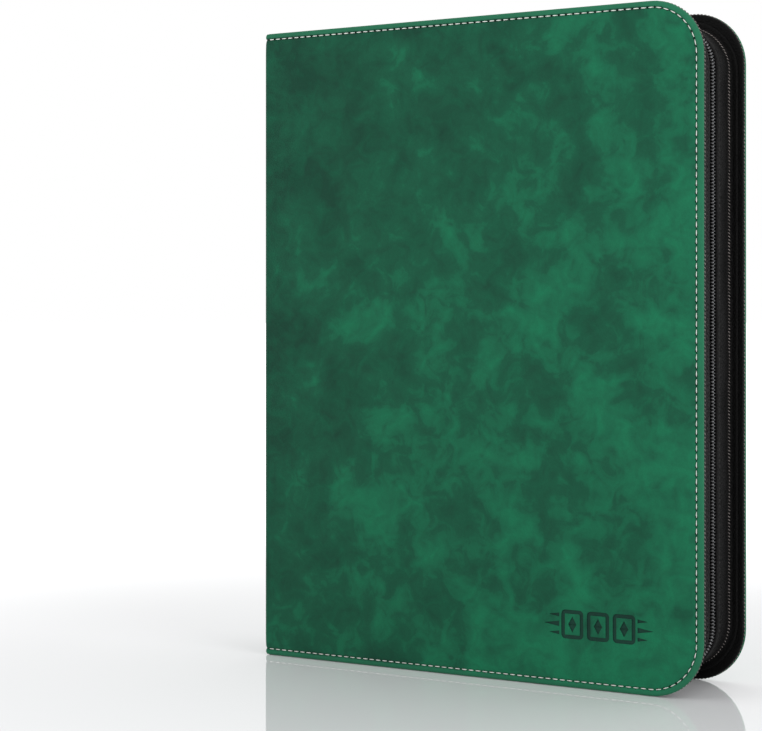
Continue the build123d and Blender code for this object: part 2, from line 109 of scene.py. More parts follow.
FLANGE = 4.0
GUSSET_X = GUSSET_HIGH.x - FLANGE
GUSSET_LINE_LOW = GUSSET_LOW.z + FLANGE
GUSSET_LINE_HIGH = GUSSET_HIGH.z - FLANGE
GUSSET_RADIUS = 24.0
GUSSET_FABRIC = 1.5
ZIP_Y = (COIL_HIGH.y + BACK_COIL_LOW.y) / 2
TAPE_THICKNESS = 0.45
LAP = 0.05  # how far the fold runs on past the edges it joins

LINING_SEAM = 3.35  # depth of the lining's stitches under the cover's face
GUSSET_SEAM = 3.15  # depth of the gusset's seam under the lining
GUSSET_HEM = 3.9  # distance of the hem's stitches from the gusset's free edge
MARK_CUTTER = 1.2  # height of the cutter for the pressed mark

# Height of the leather over the cover's back, and how far in from its edge: turned
# edge, edge roll, stitch groove, and the rise to the padded field.
COVER_EDGE = (
    (2.5, 1.6), (2.5, 0.35), (2.2, 0.04), (1.7, 0.0), (1.35, 0.04), (0.85, 0.22), (0.42, 0.65),
    (0.18, 1.3), (0.12, 2.1), (0.3, 2.85), (0.62, 3.2), (0.74, 3.42), (0.62, 3.65),
    (0.36, 4.2), (0.16, 5.4), (0.05, 8.0), (0.0, 12.0),
)
STITCH_INSET = 3.42
STITCH_DEPTH = 0.5


# ---------------------------------------------------------------- shapes
class Outline:
    """A U-shaped line in the X-Z plane: out along the top, down the fore-edge, back along the bottom."""

    def __init__(self, start_x, fore_x, low, high, radius):
        self.start_x, self.fore_x, self.low, self.high, self.radius = start_x, fore_x, low, high, radius
        self.straight = fore_x - radius - start_x
        self.side = high - low - 2 * radius

    def steps(self, spacing, turn_steps=14):
        """The moves that carry a profile along the line: (matrix, distance) each."""
        centre_x = self.fore_x - self.radius
        runs = ((Vector((1, 0, 0)), self.straight), (Vector((0, 0, -1)), self.side),
                (Vector((-1, 0, 0)), self.straight))
        corners = (Vector((centre_x, 0, self.high - self.radius)),
                   Vector((centre_x, 0, self.low + self.radius)))
        for index, (direction, length) in enumerate(runs):
            count = ceil(length / spacing)
            for _ in range(count):
                yield Matrix.Translation(direction * length / count), length / count
            if index < 2:
                centre = corners[index]
                turn = Matrix.Rotation(pi / 2 / turn_steps, 4, "Y")
                turn = Matrix.Translation(centre) @ turn @ Matrix.Translation(-centre)
                for _ in range(turn_steps):
                    yield turn, self.radius * pi / 2 / turn_steps

    def inset(self, amount):
        """The line drawn in by an amount."""
        return Outline(self.start_x, self.fore_x - amount, self.low + amount, self.high - amount,
                       self.radius - amount)

    def length(self):
        """The whole length of the line."""
        return 2 * self.straight + self.side + pi * self.radius

    def at(self, distance):
        """Point, direction and outward normal at a distance along the line."""
        arc = pi / 2 * self.radius
        centre_x = self.fore_x - self.radius
        if distance < self.straight:
            return Vector((self.start_x + distance, 0, self.high)), Vector((1, 0, 0)), Vector((0, 0, 1))
        distance -= self.straight
        if distance < arc:
            return self.turn(centre_x, self.high - self.radius, distance / self.radius)
        distance -= arc
        if distance < self.side:
            return Vector((self.fore_x, 0, self.high - self.radius - distance)), Vector((0, 0,
                    -1)), Vector((1, 0, 0))
        distance -= self.side
        if distance < arc:
            return self.turn(centre_x, self.low + self.radius, pi / 2 + distance / self.radius)
        distance -= arc
        return Vector((centre_x - distance, 0, self.low)), Vector((-1, 0, 0)), Vector((0, 0, -1))

    def turn(self, centre_x, centre_z, angle):
        """Point, direction and normal at an angle round a corner, from straight up."""
        normal = Vector((sin(angle), 0, cos(angle)))
        return Vector((centre_x, 0, centre_z)) + normal * self.radius, Vector((cos(angle), 0,
                -sin(angle))), normal

    def along(self, pitch, start=0.0, end=0.0):
        """Evenly spaced points of the line, as at() gives them."""
        span = self.length() - start - end
        count = max(1, round(span / pitch))
        return [self.at(start + span * (index + 0.5) / count) for index in range(count)]


COVER_LINE = Outline(COVER_START, FORE_X, 0.0, HEIGHT, CORNER_RADIUS)
GUSSET_LINE = Outline(GUSSET_LOW.x, GUSSET_X, GUSSET_LINE_LOW, GUSSET_LINE_HIGH, GUSSET_RADIUS)
COIL_LINE = Outline(COIL_LOW.x, GUSSET_X, GUSSET_LINE_LOW, GUSSET_LINE_HIGH, GUSSET_RADIUS)


def axes_matrix(origin, x_axis, z_axis):
    """A placing matrix from its local X and Z directions."""
    y_axis = z_axis.cross(x_axis)
    return Matrix.Translation(origin) @ Matrix((x_axis, y_axis, z_axis)).transposed().to_4x4()


def new_shape():
    """An empty bmesh that keeps each vertex's distance along and across a sweep."""
    shape = bmesh.new()
    shape.verts.layers.float.new("along")
    shape.verts.layers.float.new("across")
    return shape


def sweep(points, steps, closed=True, across=None):
    """Extrudes a line of points through a list of moves, and caps the ends of a closed one."""
    shape = new_shape()
    along_layer, across_layer = shape.verts.layers.float["along"], shape.verts.layers.float["across"]
    row = [shape.verts.new(point) for point in points]
    for index, vertex in enumerate(row):
        vertex[across_layer] = across[index] if across else 0.0
    edges = [shape.edges.new(pair) for pair in zip(row, row[1:])]
    if closed:
        edges.append(shape.edges.new((row[-1], row[0])))
    ends = [edges]
    travelled = 0.0
    for matrix, distance in steps:
        made = bmesh.ops.extrude_edge_only(shape, edges=edges)["geom"]
        moved = {part for part in made if isinstance(part, bmesh.types.BMVert)}
        edges = [part for part in made if isinstance(part, bmesh.types.BMEdge) and set(part.verts) <= moved]
        bmesh.ops.transform(shape, matrix=matrix, verts=list(moved))
        travelled += distance
        for vertex in moved:
            vertex[along_layer] = travelled
    ends.append(edges)
    if closed:
        for loop in ends:
            bmesh.ops.edgeloop_fill(shape, edges=loop)
        bmesh.ops.recalc_face_normals(shape, faces=shape.faces)
    return shape


def turned(profile, sides):
    """A small solid of revolution about Z from (radius, height) points."""
    shape = bmesh.new()
    row = [shape.verts.new((radius, 0, height)) for radius, height in profile]
    edges = [shape.edges.new(pair) for pair in zip(row, row[1:])]
    bmesh.ops.spin(shape, geom=row + edges, cent=(0, 0, 0), axis=(0, 0, 1), angle=tau, steps=sides,
                   use_merge=True)
    bmesh.ops.remove_doubles(shape, verts=shape.verts, dist=1e-4)
    bmesh.ops.recalc_face_normals(shape, faces=shape.faces)
    return shape


def rectangle(width, length, radius=0.0, segments=5):
    """A flat rectangle in X-Y about the origin, with rounded corners if a radius is given."""
    shape = bmesh.new()
    bmesh.ops.create_grid(shape, x_segments=1, y_segments=1, size=0.5)
    bmesh.ops.scale(shape, vec=(width, length, 1), verts=shape.verts)
    if radius:
        bmesh.ops.bevel(shape, geom=shape.verts[:], offset=radius, offset_type="OFFSET", affect="VERTICES",
                        segments=segments, profile=0.5, material=-1)
    return shape


def thicken(shape, height):
    """Turns a flat shape into a solid of that height."""
    made = bmesh.ops.extrude_face_region(shape, geom=shape.faces[:])["geom"]
    top = [part for part in made if isinstance(part, bmesh.types.BMVert)]
    bmesh.ops.translate(shape, vec=(0, 0, height), verts=top)
    bmesh.ops.recalc_face_normals(shape, faces=shape.faces)


def put(shape, matrix):
    """Moves a whole shape by a placing matrix."""
    bmesh.ops.transform(shape, matrix=matrix, verts=shape.verts)


def lay(shape, angle, axis):
    """Turns a whole shape about the origin."""
    bmesh.ops.rotate(shape, cent=(0, 0, 0), matrix=Matrix.Rotation(radians(angle), 3, axis),
                     verts=shape.verts)


def rounded_plate(width, length, radius, thickness, segments=5, bevel=0.0):
    """A flat plate in X-Y with rounded corners, standing on Z = 0."""
    shape = rectangle(width, length, radius, segments)
    thicken(shape, thickness)
    if bevel:
        rim = [edge for edge in shape.edges if len(edge.link_faces) == 2 and edge.calc_face_angle() > 1.2]
        bmesh.ops.bevel(shape, geom=rim, offset=bevel, offset_type="OFFSET", affect="EDGES", segments=3,
                        profile=0.5, material=-1)
    return shape


def copies(shape, places, material=0):
    """One bmesh with a copy of a small shape at each placing matrix."""
    base = bpy.data.meshes.new("base")
    shape.to_mesh(base)
    shape.free()
    gathered = bmesh.new()
    for place in places:
        copy = base.copy()
        copy.transform(place)
        gathered.from_mesh(copy)
        bpy.data.meshes.remove(copy)
    bpy.data.meshes.remove(base)
    for face in gathered.faces:
        face.material_index = material
    return gathered


def join(shapes):
    """One bmesh from several."""
    whole = new_shape()
    for shape in shapes:
        mesh = bpy.data.meshes.new("part")
        shape.to_mesh(mesh)
        shape.free()
        whole.from_mesh(mesh)
        bpy.data.meshes.remove(mesh)
    return whole


def thread_stitch(length, radius, sides=7, dip=0.35):
    """One stitch of two-ply thread along X, pulled down into the needle hole at each end."""
    half = length / 2
    rings = ((0.0, -half), (0.62, -half * 0.94), (0.92, -half * 0.72), (1.0, -half * 0.36), (1.0, 0.0),
             (1.0, half * 0.36), (0.92, half * 0.72), (0.62, half * 0.94), (0.0, half))
    shape = turned([(radius * share, height) for share, height in rings], sides)
    for vertex in shape.verts:
        along = vertex.co.z / half
        ply = Matrix.Rotation(along * 1.9, 2)
        flat = ply @ Vector((vertex.co.x * 0.86, vertex.co.y * 1.1))
        vertex.co = Vector((vertex.co.z, flat.y, flat.x - dip * along**4))
    bmesh.ops.recalc_face_normals(shape, faces=shape.faces)
    return shape


def write_uv(shape, along_scale=1.0, across_scale=1.0):
    """Turns the sweep distances into a UV map."""
    along_layer, across_layer = shape.verts.layers.float["along"], shape.verts.layers.float["across"]
    uv_layer = shape.loops.layers.uv.new("Sweep")
    for face in shape.faces:
        for loop in face.loops:
            loop[uv_layer].uv = (loop.vert[along_layer] * along_scale,
                                 loop.vert[across_layer] * across_scale)


def finish_piece(shape, name, body, materials, replaced=(), sharp=40.0):
    """Scales a shape to metres, makes it a smooth-shaded object and hangs it on its body."""
    bmesh.ops.scale(shape, vec=(MM, MM, MM), verts=shape.verts)
    for face in shape.faces:
        face.smooth = True
    for edge in shape.edges:
        edge.smooth = len(edge.link_faces) == 2 and edge.calc_face_angle(0.0) < radians(sharp)
    mesh = bpy.data.meshes.new(name)
    shape.to_mesh(mesh)
    shape.free()
    piece = bpy.data.objects.new(name, mesh)
    bpy.context.scene.collection.objects.link(piece)
    for material in materials:
        mesh.materials.append(material)
    if body:
        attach(piece, body)
    if replaced:
        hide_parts(*replaced)
    return piece


# ---------------------------------------------------------------- finishes
def linear(hex_colour):
    """An sRGB hex colour as linear red, green, blue and alpha."""
    channels = [int(hex_colour[place:place + 2], 16) / 255 for place in (1, 3, 5)]
    return (*[c / 12.92 if c <= 0.04045 else ((c + 0.055) / 1.055) ** 2.4 for c in channels], 1.0)


def pattern_scale(size_mm):
    """The Scale of a texture on metre coordinates whose features are this many millimetres across."""
    return 1 / (size_mm * MM)


MATH, MIX, NOISE, SCALE = "ShaderNodeMath", "ShaderNodeMix", "ShaderNodeTexNoise", "ShaderNodeMapRange"
VECTOR_MATH, BUMP, SPLIT = "ShaderNodeVectorMath", "ShaderNodeBump", "ShaderNodeSeparateXYZ"
FACTOR, COLOUR_A, COLOUR_B, COLOUR_OUT = 0, 6, 7, 2


def set_inputs(tree, node, inputs):
    """Links each input given a socket or a node's first result, and sets any other to its value."""
    for name, value in inputs.items():
        if isinstance(value, bpy.types.Node):
            value = value.outputs[COLOUR_OUT if value.bl_idname == MIX else 0]
        if isinstance(value, bpy.types.NodeSocket):
            tree.links.new(value, node.inputs[name])
        else:
            node.inputs[name].default_value = value


def add_node(tree, kind, inputs=None, **settings):
    """Adds one node with its settings and inputs."""
    made = tree.nodes.new(kind)
    for name, value in settings.items():
        setattr(made, name, value)
    set_inputs(tree, made, inputs or {})
    return made


def mix(tree, factor, first, second, **settings):
    """Adds a node that mixes two colours."""
    colours = {FACTOR: factor, COLOUR_A: first, COLOUR_B: second}
    return add_node(tree, MIX, colours, data_type="RGBA", **settings)


def maths(tree, operation, *values):
    """Adds a node that works on one to three numbers."""
    return add_node(tree, MATH, dict(enumerate(values)), operation=operation)


def speckle(tree, vector, size_mm, detail, roughness=0.5, distortion=0.0, **settings):
    """Adds a noise whose features are about that many millimetres across."""
    inputs = {"Vector": vector, "Scale": pattern_scale(size_mm), "Detail": detail}
    return add_node(tree, NOISE, {**inputs, "Roughness": roughness, "Distortion": distortion}, **settings)


def rescale(tree, value, low=0.0, high=1.0, to_low=0.0, to_high=1.0, **settings):
    """Adds a node that carries one range of numbers over to another."""
    inputs = {"Value": value, "From Min": low, "From Max": high, "To Min": to_low, "To Max": to_high}
    return add_node(tree, SCALE, inputs, **settings)


def start_material(name):
    """A new node material with its tree, surface shader and Object coordinates."""
    material = bpy.data.materials.new(name)
    material.use_nodes = True
    tree = material.node_tree
    tree.nodes.clear()
    shader = add_node(tree, "ShaderNodeBsdfPrincipled")
    add_node(tree, "ShaderNodeOutputMaterial", {"Surface": shader})
    place = add_node(tree, "ShaderNodeTexCoord").outputs["Object"]
    return material, tree, shader, place


def leather(name, colours, edge_colour=None):
    """Pull-up polyurethane leather with a brushed, nubuck-like face.

    The wax in it moves where it is pressed, so the colour clouds into soft light
    and dark pools; the face is dull, with a low sheen and a fine broken grain.
    """
    material, tree, shader, place = start_material(name)
    dark, middle, bright = colours
    pools = speckle(tree, place, 34, 4.0, 0.55, 0.5)
    clouds = speckle(tree, place, 11, 3.0, 0.55, 1.0)
    veins = speckle(tree, place, 16, 4.0, 0.5, 1.2,
                     noise_type="RIDGED_MULTIFRACTAL", normalize=True)
    grain = speckle(tree, place, 0.9, 3.0, 0.6)
    # Painted light: the green is painted a little brighter towards the fore-edge and the foot, over X and Z
    # in metres, standing in for how the light falls across the cover.
    side = add_node(tree, SPLIT, {"Vector": place})
    painted_light_slope = rescale(tree, side.outputs["X"], -0.131, 0.131, -0.16, 0.2)
    painted_light_fall = rescale(tree, side.outputs["Z"], high=0.348, to_low=0.14, to_high=-0.14)
    painted_light_slope = maths(tree, "ADD", painted_light_slope, painted_light_fall)
    pool_share = rescale(tree, pools, 0.3, 0.72)
    cloud_share = rescale(tree, clouds, 0.28, 0.72)
    both = maths(tree, "MULTIPLY", pool_share, 0.62)
    both = maths(tree, "MULTIPLY_ADD", cloud_share, 0.38, both)
    # the painted light slope shifts the mix of the three greens
    both = maths(tree, "ADD", both, painted_light_slope)
    low = rescale(tree, both, 0.05, 0.6)
    high = rescale(tree, both, 0.5, 1.0)
    colour = mix(tree, low, dark, middle)
    colour = mix(tree, high, colour, bright)
    vein_share = rescale(tree, veins, 0.55, 0.95, to_high=0.4)
    colour = mix(tree, vein_share, colour, bright)
    speck = rescale(tree, grain, 0.35, 0.75, 0.93, 1.05)
    colour = add_node(tree, VECTOR_MATH, {0: colour, "Scale": speck}, operation="SCALE")
    last_colour, height = colour, grain
    if edge_colour:
        # Along a swept edge the map holds stitch count and millimetres in from the edge:
        # the roll is rubbed lighter, and painted shade darkens each needle hole between two stitches and the
        # groove along them.
        seam = add_node(tree, SPLIT, {"Vector": add_node(tree, "ShaderNodeUVMap", uv_map="Sweep")})
        roll = rescale(tree, seam.outputs["Y"], 3.2, 2.0, to_high=0.75)
        rubbed = mix(tree, roll, last_colour, edge_colour)
        # needle holes, darkened as painted shade: distance from the hole's middle, in millimetres
        turn = maths(tree, "FRACT", seam.outputs["X"])
        aside = maths(tree, "SUBTRACT", turn, 0.5)
        aside = maths(tree, "ABSOLUTE", aside)
        aside = maths(tree, "SUBTRACT", 0.5, aside)
        aside = maths(tree, "MULTIPLY", aside, 4.1)
        across = maths(tree, "SUBTRACT", seam.outputs["Y"], STITCH_INSET)
        spot = add_node(tree, "ShaderNodeCombineXYZ", {"X": aside, "Y": across})
        away = add_node(tree, VECTOR_MATH, {0: spot}, operation="LENGTH")
        hole = rescale(tree, away.outputs["Value"], 0.95, 0.5, to_high=0.95)
        across = maths(tree, "ABSOLUTE", across)
        # painted shade in the stitch groove on both sides of the thread
        furrow = rescale(tree, across, 0.62, 0.25, to_high=0.55)
        hole = maths(tree, "MAXIMUM", hole, furrow)
        # painted shade: the holes and the groove are mixed towards a near-black green; the same mask also
        # sinks them in the bump below
        shade = mix(tree, hole, rubbed, linear("#0A1A14"))
        last_colour = shade
        height = maths(tree, "MULTIPLY_ADD", hole, -2.0, grain)
    gloss = rescale(tree, clouds, 0.3, 0.7, 0.55, 0.68)
    relief = add_node(tree, BUMP, {"Height": height, "Strength": 0.22, "Distance": 0.0002})
    creases = add_node(tree, BUMP,
                       {"Height": veins, "Strength": 0.12, "Distance": 0.0005, "Normal": relief})
    set_inputs(tree, shader, {
        "Base Color": last_colour,
        "Roughness": gloss,
        "Normal": creases,
        "Specular IOR Level": 0.16,
        "Sheen Weight": 0.02,
        "Sheen Roughness": 0.45,
        "Sheen Tint": linear("#9CCFB2"),
    })
    return material


def grained_fabric(name, cell_mm, colours, roughness):
    """Coated fabric embossed with a pebbled grain: black pebbles with a soft shine between matt furrows."""
    material, tree, shader, place = start_material(name)
    warp = speckle(tree, place, 2.5, 2.0)
    bent = mix(tree, 0.0012, place, warp.outputs["Color"], blend_type="ADD")
    pebble = add_node(tree, "ShaderNodeTexVoronoi", {"Vector": bent, "Scale": pattern_scale(cell_mm)},
                      feature="SMOOTH_F1")
    crown = rescale(tree, pebble.outputs["Distance"], 0.75, 0.15)
    patches = speckle(tree, place, 9, 4.0)
    # painted highlight on the pebble crowns, in patches, and painted shade in the furrows between them
    share = maths(tree, "MULTIPLY", crown, patches)
    colour = mix(tree, share, linear(colours[0]), linear(colours[1]))
    gloss = rescale(tree, crown, to_low=roughness + 0.25, to_high=roughness)
    relief = add_node(tree, BUMP, {"Height": crown, "Strength": 0.55, "Distance": 0.0003})
    set_inputs(tree, shader, {
        "Specular IOR Level": 0.14,
        "Base Color": colour,
        "Roughness": gloss,
        "Normal": relief,
    })
    return material


def woven(name, thread_mm, colours, turn=(0.0, 0.0, 0.0), swept=False):
    """A weave of two sets of threads: each crown is painted a little lighter as a highlight, and the gaps
    are painted dark as shade.
    """
    material, tree, shader, place = start_material(name)
    source = add_node(tree, "ShaderNodeUVMap", uv_map="Sweep") if swept else place
    spun = add_node(tree, "ShaderNodeMapping", {"Vector": source, "Rotation": turn})
    lines = pattern_scale(thread_mm) * tau / 20
    warp = add_node(tree, "ShaderNodeTexWave",
                    {"Vector": spun, "Scale": lines, "Distortion": 0.4, "Detail": 1.0}, bands_direction="X")
    weft = add_node(tree, "ShaderNodeTexWave",
                    {"Vector": spun, "Scale": lines, "Distortion": 0.4, "Detail": 1.0},
                    bands_direction="Y" if swept else "Z")
    crossing = maths(tree, "MULTIPLY", warp.outputs["Fac"], weft.outputs["Fac"])
    fuzz = speckle(tree, place, 1.2, 3.0)
    # painted highlight on the thread crowns and painted shade in the gaps between threads
    share = maths(tree, "MULTIPLY", crossing, fuzz)
    colour = mix(tree, share, linear(colours[0]), linear(colours[1]))
    relief = add_node(tree, BUMP, {"Height": crossing, "Strength": 0.5, "Distance": 0.0002})
    set_inputs(tree, shader, {
        "Base Color": colour,
        "Normal": relief,
        "Roughness": 0.8,
        "Specular IOR Level": 0.08,
    })
    return material


def spun_thread(name, colours, sheen):
    """Polyester sewing thread: fine fibres twisted in two plies, with a dry, slightly silky face."""
    material, tree, shader, place = start_material(name)
    fibre = speckle(tree, place, 0.35, 3.0, 0.6)
    soil = speckle(tree, place, 9, 2.0)
    share = maths(tree, "ADD", fibre, soil)
    spread = rescale(tree, share, 0.7, 1.25)
    colour = mix(tree, spread, linear(colours[0]), linear(colours[1]))
    relief = add_node(tree, BUMP, {"Height": fibre, "Strength": 0.35, "Distance": 0.0001})
    set_inputs(tree, shader, {
        "Base Color": colour,
        "Normal": relief,
        "Roughness": 0.7,
        "Sheen Weight": sheen,
    })
    return material


def hard_surface(name, colours, roughness, metallic=0.0, mark_mm=6.0, relief_strength=0.06, coat=0.0):
    """A moulded, enamelled or plated hard part: nearly even colour, faint rubbed patches and fine marks."""
    material, tree, shader, place = start_material(name)
    patches = add_node(tree, NOISE,
                       {"Vector": place, "Scale": pattern_scale(mark_mm), "Detail": 4.0, "Roughness": 0.55})
    marks = speckle(tree, place, 0.5, 2.0)
    share = rescale(tree, patches, 0.35, 0.68)
    colour = mix(tree, share, linear(colours[0]), linear(colours[1]))
    gloss = rescale(tree, patches, 0.3, 0.7, roughness * 0.8, roughness * 1.25)
    relief = add_node(tree, BUMP, {"Height": marks, "Strength": relief_strength, "Distance": 0.0001})
    set_inputs(tree, shader, {
        "Base Color": colour,
        "Roughness": gloss,
        "Normal": relief,
        "Metallic": metallic,
        "Coat Weight": coat,
    })
    return material


def pocket_film(name):
    """Clear cast polypropylene film: glossy, and white along the dotted lines where it is welded."""
    material, tree, shader, place = start_material(name)
    spot = add_node(tree, SPLIT, {"Vector": add_node(tree, "ShaderNodeUVMap", uv_map="Sweep")})
    # the map holds millimetres along a weld and millimetres across it
    dash = maths(tree, "MULTIPLY", spot.outputs["X"], tau / 2.4)
    dash = maths(tree, "SINE", dash)
    dash = rescale(tree, dash, -0.2, 0.2)
    weld = rescale(tree, spot.outputs["Y"], 0.75, 0.45)
    dots = maths(tree, "MULTIPLY", dash, weld)
    wave = speckle(tree, place, 26, 2.0)
    alpha = rescale(tree, dots, to_low=0.03, to_high=0.85)
    gloss = rescale(tree, dots, to_low=0.09, to_high=0.5)
    relief = add_node(tree, BUMP, {"Height": wave, "Strength": 0.3, "Distance": 0.001})
    set_inputs(tree, shader, {
        "Alpha": alpha,
        "Roughness": gloss,
        "Normal": relief,
        "Base Color": linear("#F3F5F6"),
    })
    return material


def foil_card(name):
    """Printed foil card: yellow border, pale bar, rainbow field, dark medallion and a plain rosette.

    The card's own number turns the field's hue and changes the rosette's petals, so no two
    neighbours match.
    """
    material, tree, shader, place = start_material(name)
    face = add_node(tree, SPLIT, {"Vector": add_node(tree, "ShaderNodeUVMap", uv_map="Sweep")})
    across, up = face.outputs["X"], face.outputs["Y"]
    number = add_node(tree, "ShaderNodeAttribute", attribute_name="card_number").outputs["Fac"]
    # field hue by card
    streak_place = add_node(tree, "ShaderNodeCombineXYZ",
                            {"X": across, "Y": maths(tree, "MULTIPLY", up, 0.08), "Z": number})
    streaks = add_node(tree, NOISE, {"Vector": streak_place, "Scale": 7.0, "Detail": 3.0, "Roughness": 0.6})
    rainbow = add_node(tree, NOISE, {"Vector": streak_place, "Scale": 2.6, "Detail": 1.0})
    hue = maths(tree, "MULTIPLY", number, 0.381966)
    hue = maths(tree, "MULTIPLY_ADD", rainbow, 0.5, hue)
    hue = maths(tree, "FRACT", hue)
    field = add_node(tree, "ShaderNodeCombineColor", {0: hue, 1: 0.88, 2: 0.55}, mode="HSV")
    shine = rescale(tree, streaks, 0.54, 0.76, to_high=0.8)
    dull = rescale(tree, streaks, 0.46, 0.3, to_high=0.8)
    field = mix(tree, shine, field, linear("#F4F7F6"))
    field = mix(tree, dull, field, linear("#2A2420"))
    # medallion and rosette about the card's middle, 63.5 mm by 88.9 mm
    dx = maths(tree, "ADD", across, -0.5)
    dx = maths(tree, "MULTIPLY", dx, 63.5)
    dy = maths(tree, "ADD", up, -0.47)
    dy = maths(tree, "MULTIPLY", dy, 88.9)
    middle = add_node(tree, "ShaderNodeCombineXYZ", {"X": dx, "Y": dy})
    radius = add_node(tree, VECTOR_MATH, {0: middle}, operation="LENGTH").outputs["Value"]
    angle = maths(tree, "ARCTAN2", dy, dx)
    petals = maths(tree, "MODULO", number, 5.0)
    petals = maths(tree, "FLOOR", petals)
    petals = maths(tree, "ADD", petals, 3.0)
    wave = maths(tree, "MULTIPLY", angle, petals)
    wave = maths(tree, "COSINE", wave)
    petal_reach = maths(tree, "MULTIPLY_ADD", wave, 2.6, 5.6)
    inside = maths(tree, "SUBTRACT", petal_reach, radius)
    rosette = rescale(tree, inside, -0.2, 0.2)
    disc = rescale(tree, radius, 14.2, 13.8)
    rim = maths(tree, "COMPARE", radius, 13.2, 0.7)
    print_colour = mix(tree, disc, field, linear("#2B2526"))
    print_colour = mix(tree, rim, print_colour, linear("#A79A8C"))
    print_colour = mix(tree, rosette, print_colour, linear("#D9D2C4"))
    # pale bar at the head of the field
    bar = maths(tree, "COMPARE", up, 0.9, 0.035)
    print_colour = mix(tree, bar, print_colour, linear("#E9E2B8"))
    # border 3.2 mm wide
    edge_x = maths(tree, "ABSOLUTE", dx)
    edge_x = maths(tree, "GREATER_THAN", edge_x, 28.5)
    edge_y = maths(tree, "ADD", up, -0.5)
    edge_y = maths(tree, "ABSOLUTE", edge_y)
    edge_y = maths(tree, "GREATER_THAN", edge_y, 0.464)
    border = maths(tree, "MAXIMUM", edge_x, edge_y)
    print_colour = mix(tree, border, print_colour, linear("#E5C93F"))
    flat_print = maths(tree, "MAXIMUM", border, disc)
    metal = rescale(tree, flat_print, to_low=0.55, to_high=0.1)
    set_inputs(tree, shader, {
        "Base Color": print_colour,
        "Metallic": metal,
        "Roughness": 0.32,
    })
    return material


FINISHES = {}


def finish(name):
    """The material of that name, made once."""
    if name not in FINISHES:
        settings = bpy.context.scene.card_binder_cover
        green = [settings.dark_green, settings.middle_green, settings.bright_green]
        makers = {
            "nubuck_pu_leather": lambda: leather(name, green, linear(EDGE_GREEN)),
            "burnished_pu_leather": lambda: leather(name, [linear(shade) for shade in BURNISHED]),
            "grained_coated_fabric": lambda: grained_fabric(name, 0.9, ("#020202", "#090909"), 0.5),
            "twill_lining": lambda: woven(name, 0.8, ("#040404", "#161617"), (0.0, radians(45), 0.0)),
            "woven_zip_tape": lambda: woven(name, 0.7, ("#020202", "#0E0E0F"), swept=True),
            "cream_polyester_thread": lambda: spun_thread(name, ("#DCE3DA", "#FBFCF6"), 0.1),
            "black_polyester_thread": lambda: spun_thread(name, ("#141313", "#343231"), 0.02),
            "grey_brown_thread": lambda: spun_thread(name, ("#5A5450", "#A19894"), 0.02),
            # painted glints on the coil crowns: a brighter copy for the front row, as lit, and a dimmer one
            # for the back row, as shaded; both reuse the thread shader
            "dim_painted_coil_glint": lambda: spun_thread(name, ("#4C4D4F", "#7A7B7D"), 0.02),
            "bright_painted_coil_glint": lambda: spun_thread(name, ("#8A8B8D", "#C6C7C9"), 0.02),
            "nylon_coil": lambda: hard_surface(name, ("#040405", "#0A0A0B"), 0.38, mark_mm=3.0),
            "black_enamelled_zinc": lambda: hard_surface(name, ("#101012", "#1E1E21"), 0.28, coat=0.4),
            "dark_enamelled_steel": lambda: hard_surface(name, ("#2B2C2F", "#3A3B3E"), 0.34, coat=0.3),
            "nickel_plated_steel": lambda: hard_surface(name, ("#C9C6BF", "#DDDAD3"), 0.16, metallic=1.0),
            "polypropylene_sheet": lambda: hard_surface(name, ("#E6E7E5", "#F1F1EF"), 0.42, mark_mm=14.0),
            "clear_pocket_film": lambda: pocket_film(name),
            "printed_foil_card": lambda: foil_card(name),
            "greyboard": lambda: hard_surface(name, ("#77736C", "#8C8880"), 0.85, relief_strength=0.4),
        }
        FINISHES[name] = makers[name]()
    return FINISHES[name]


GREENS = ("#104231", "#175D43", "#1B7A55")  # dark, middle and bright
BURNISHED = ("#16332B", "#1A3D33", "#1E463A")
EDGE_GREEN = "#2C7656"


# ---------------------------------------------------------------- covers and spine
def cover_point(side, depth):
    """Y of a point that deep under a cover's outer face."""
    return side * (HALF_THICKNESS - depth)


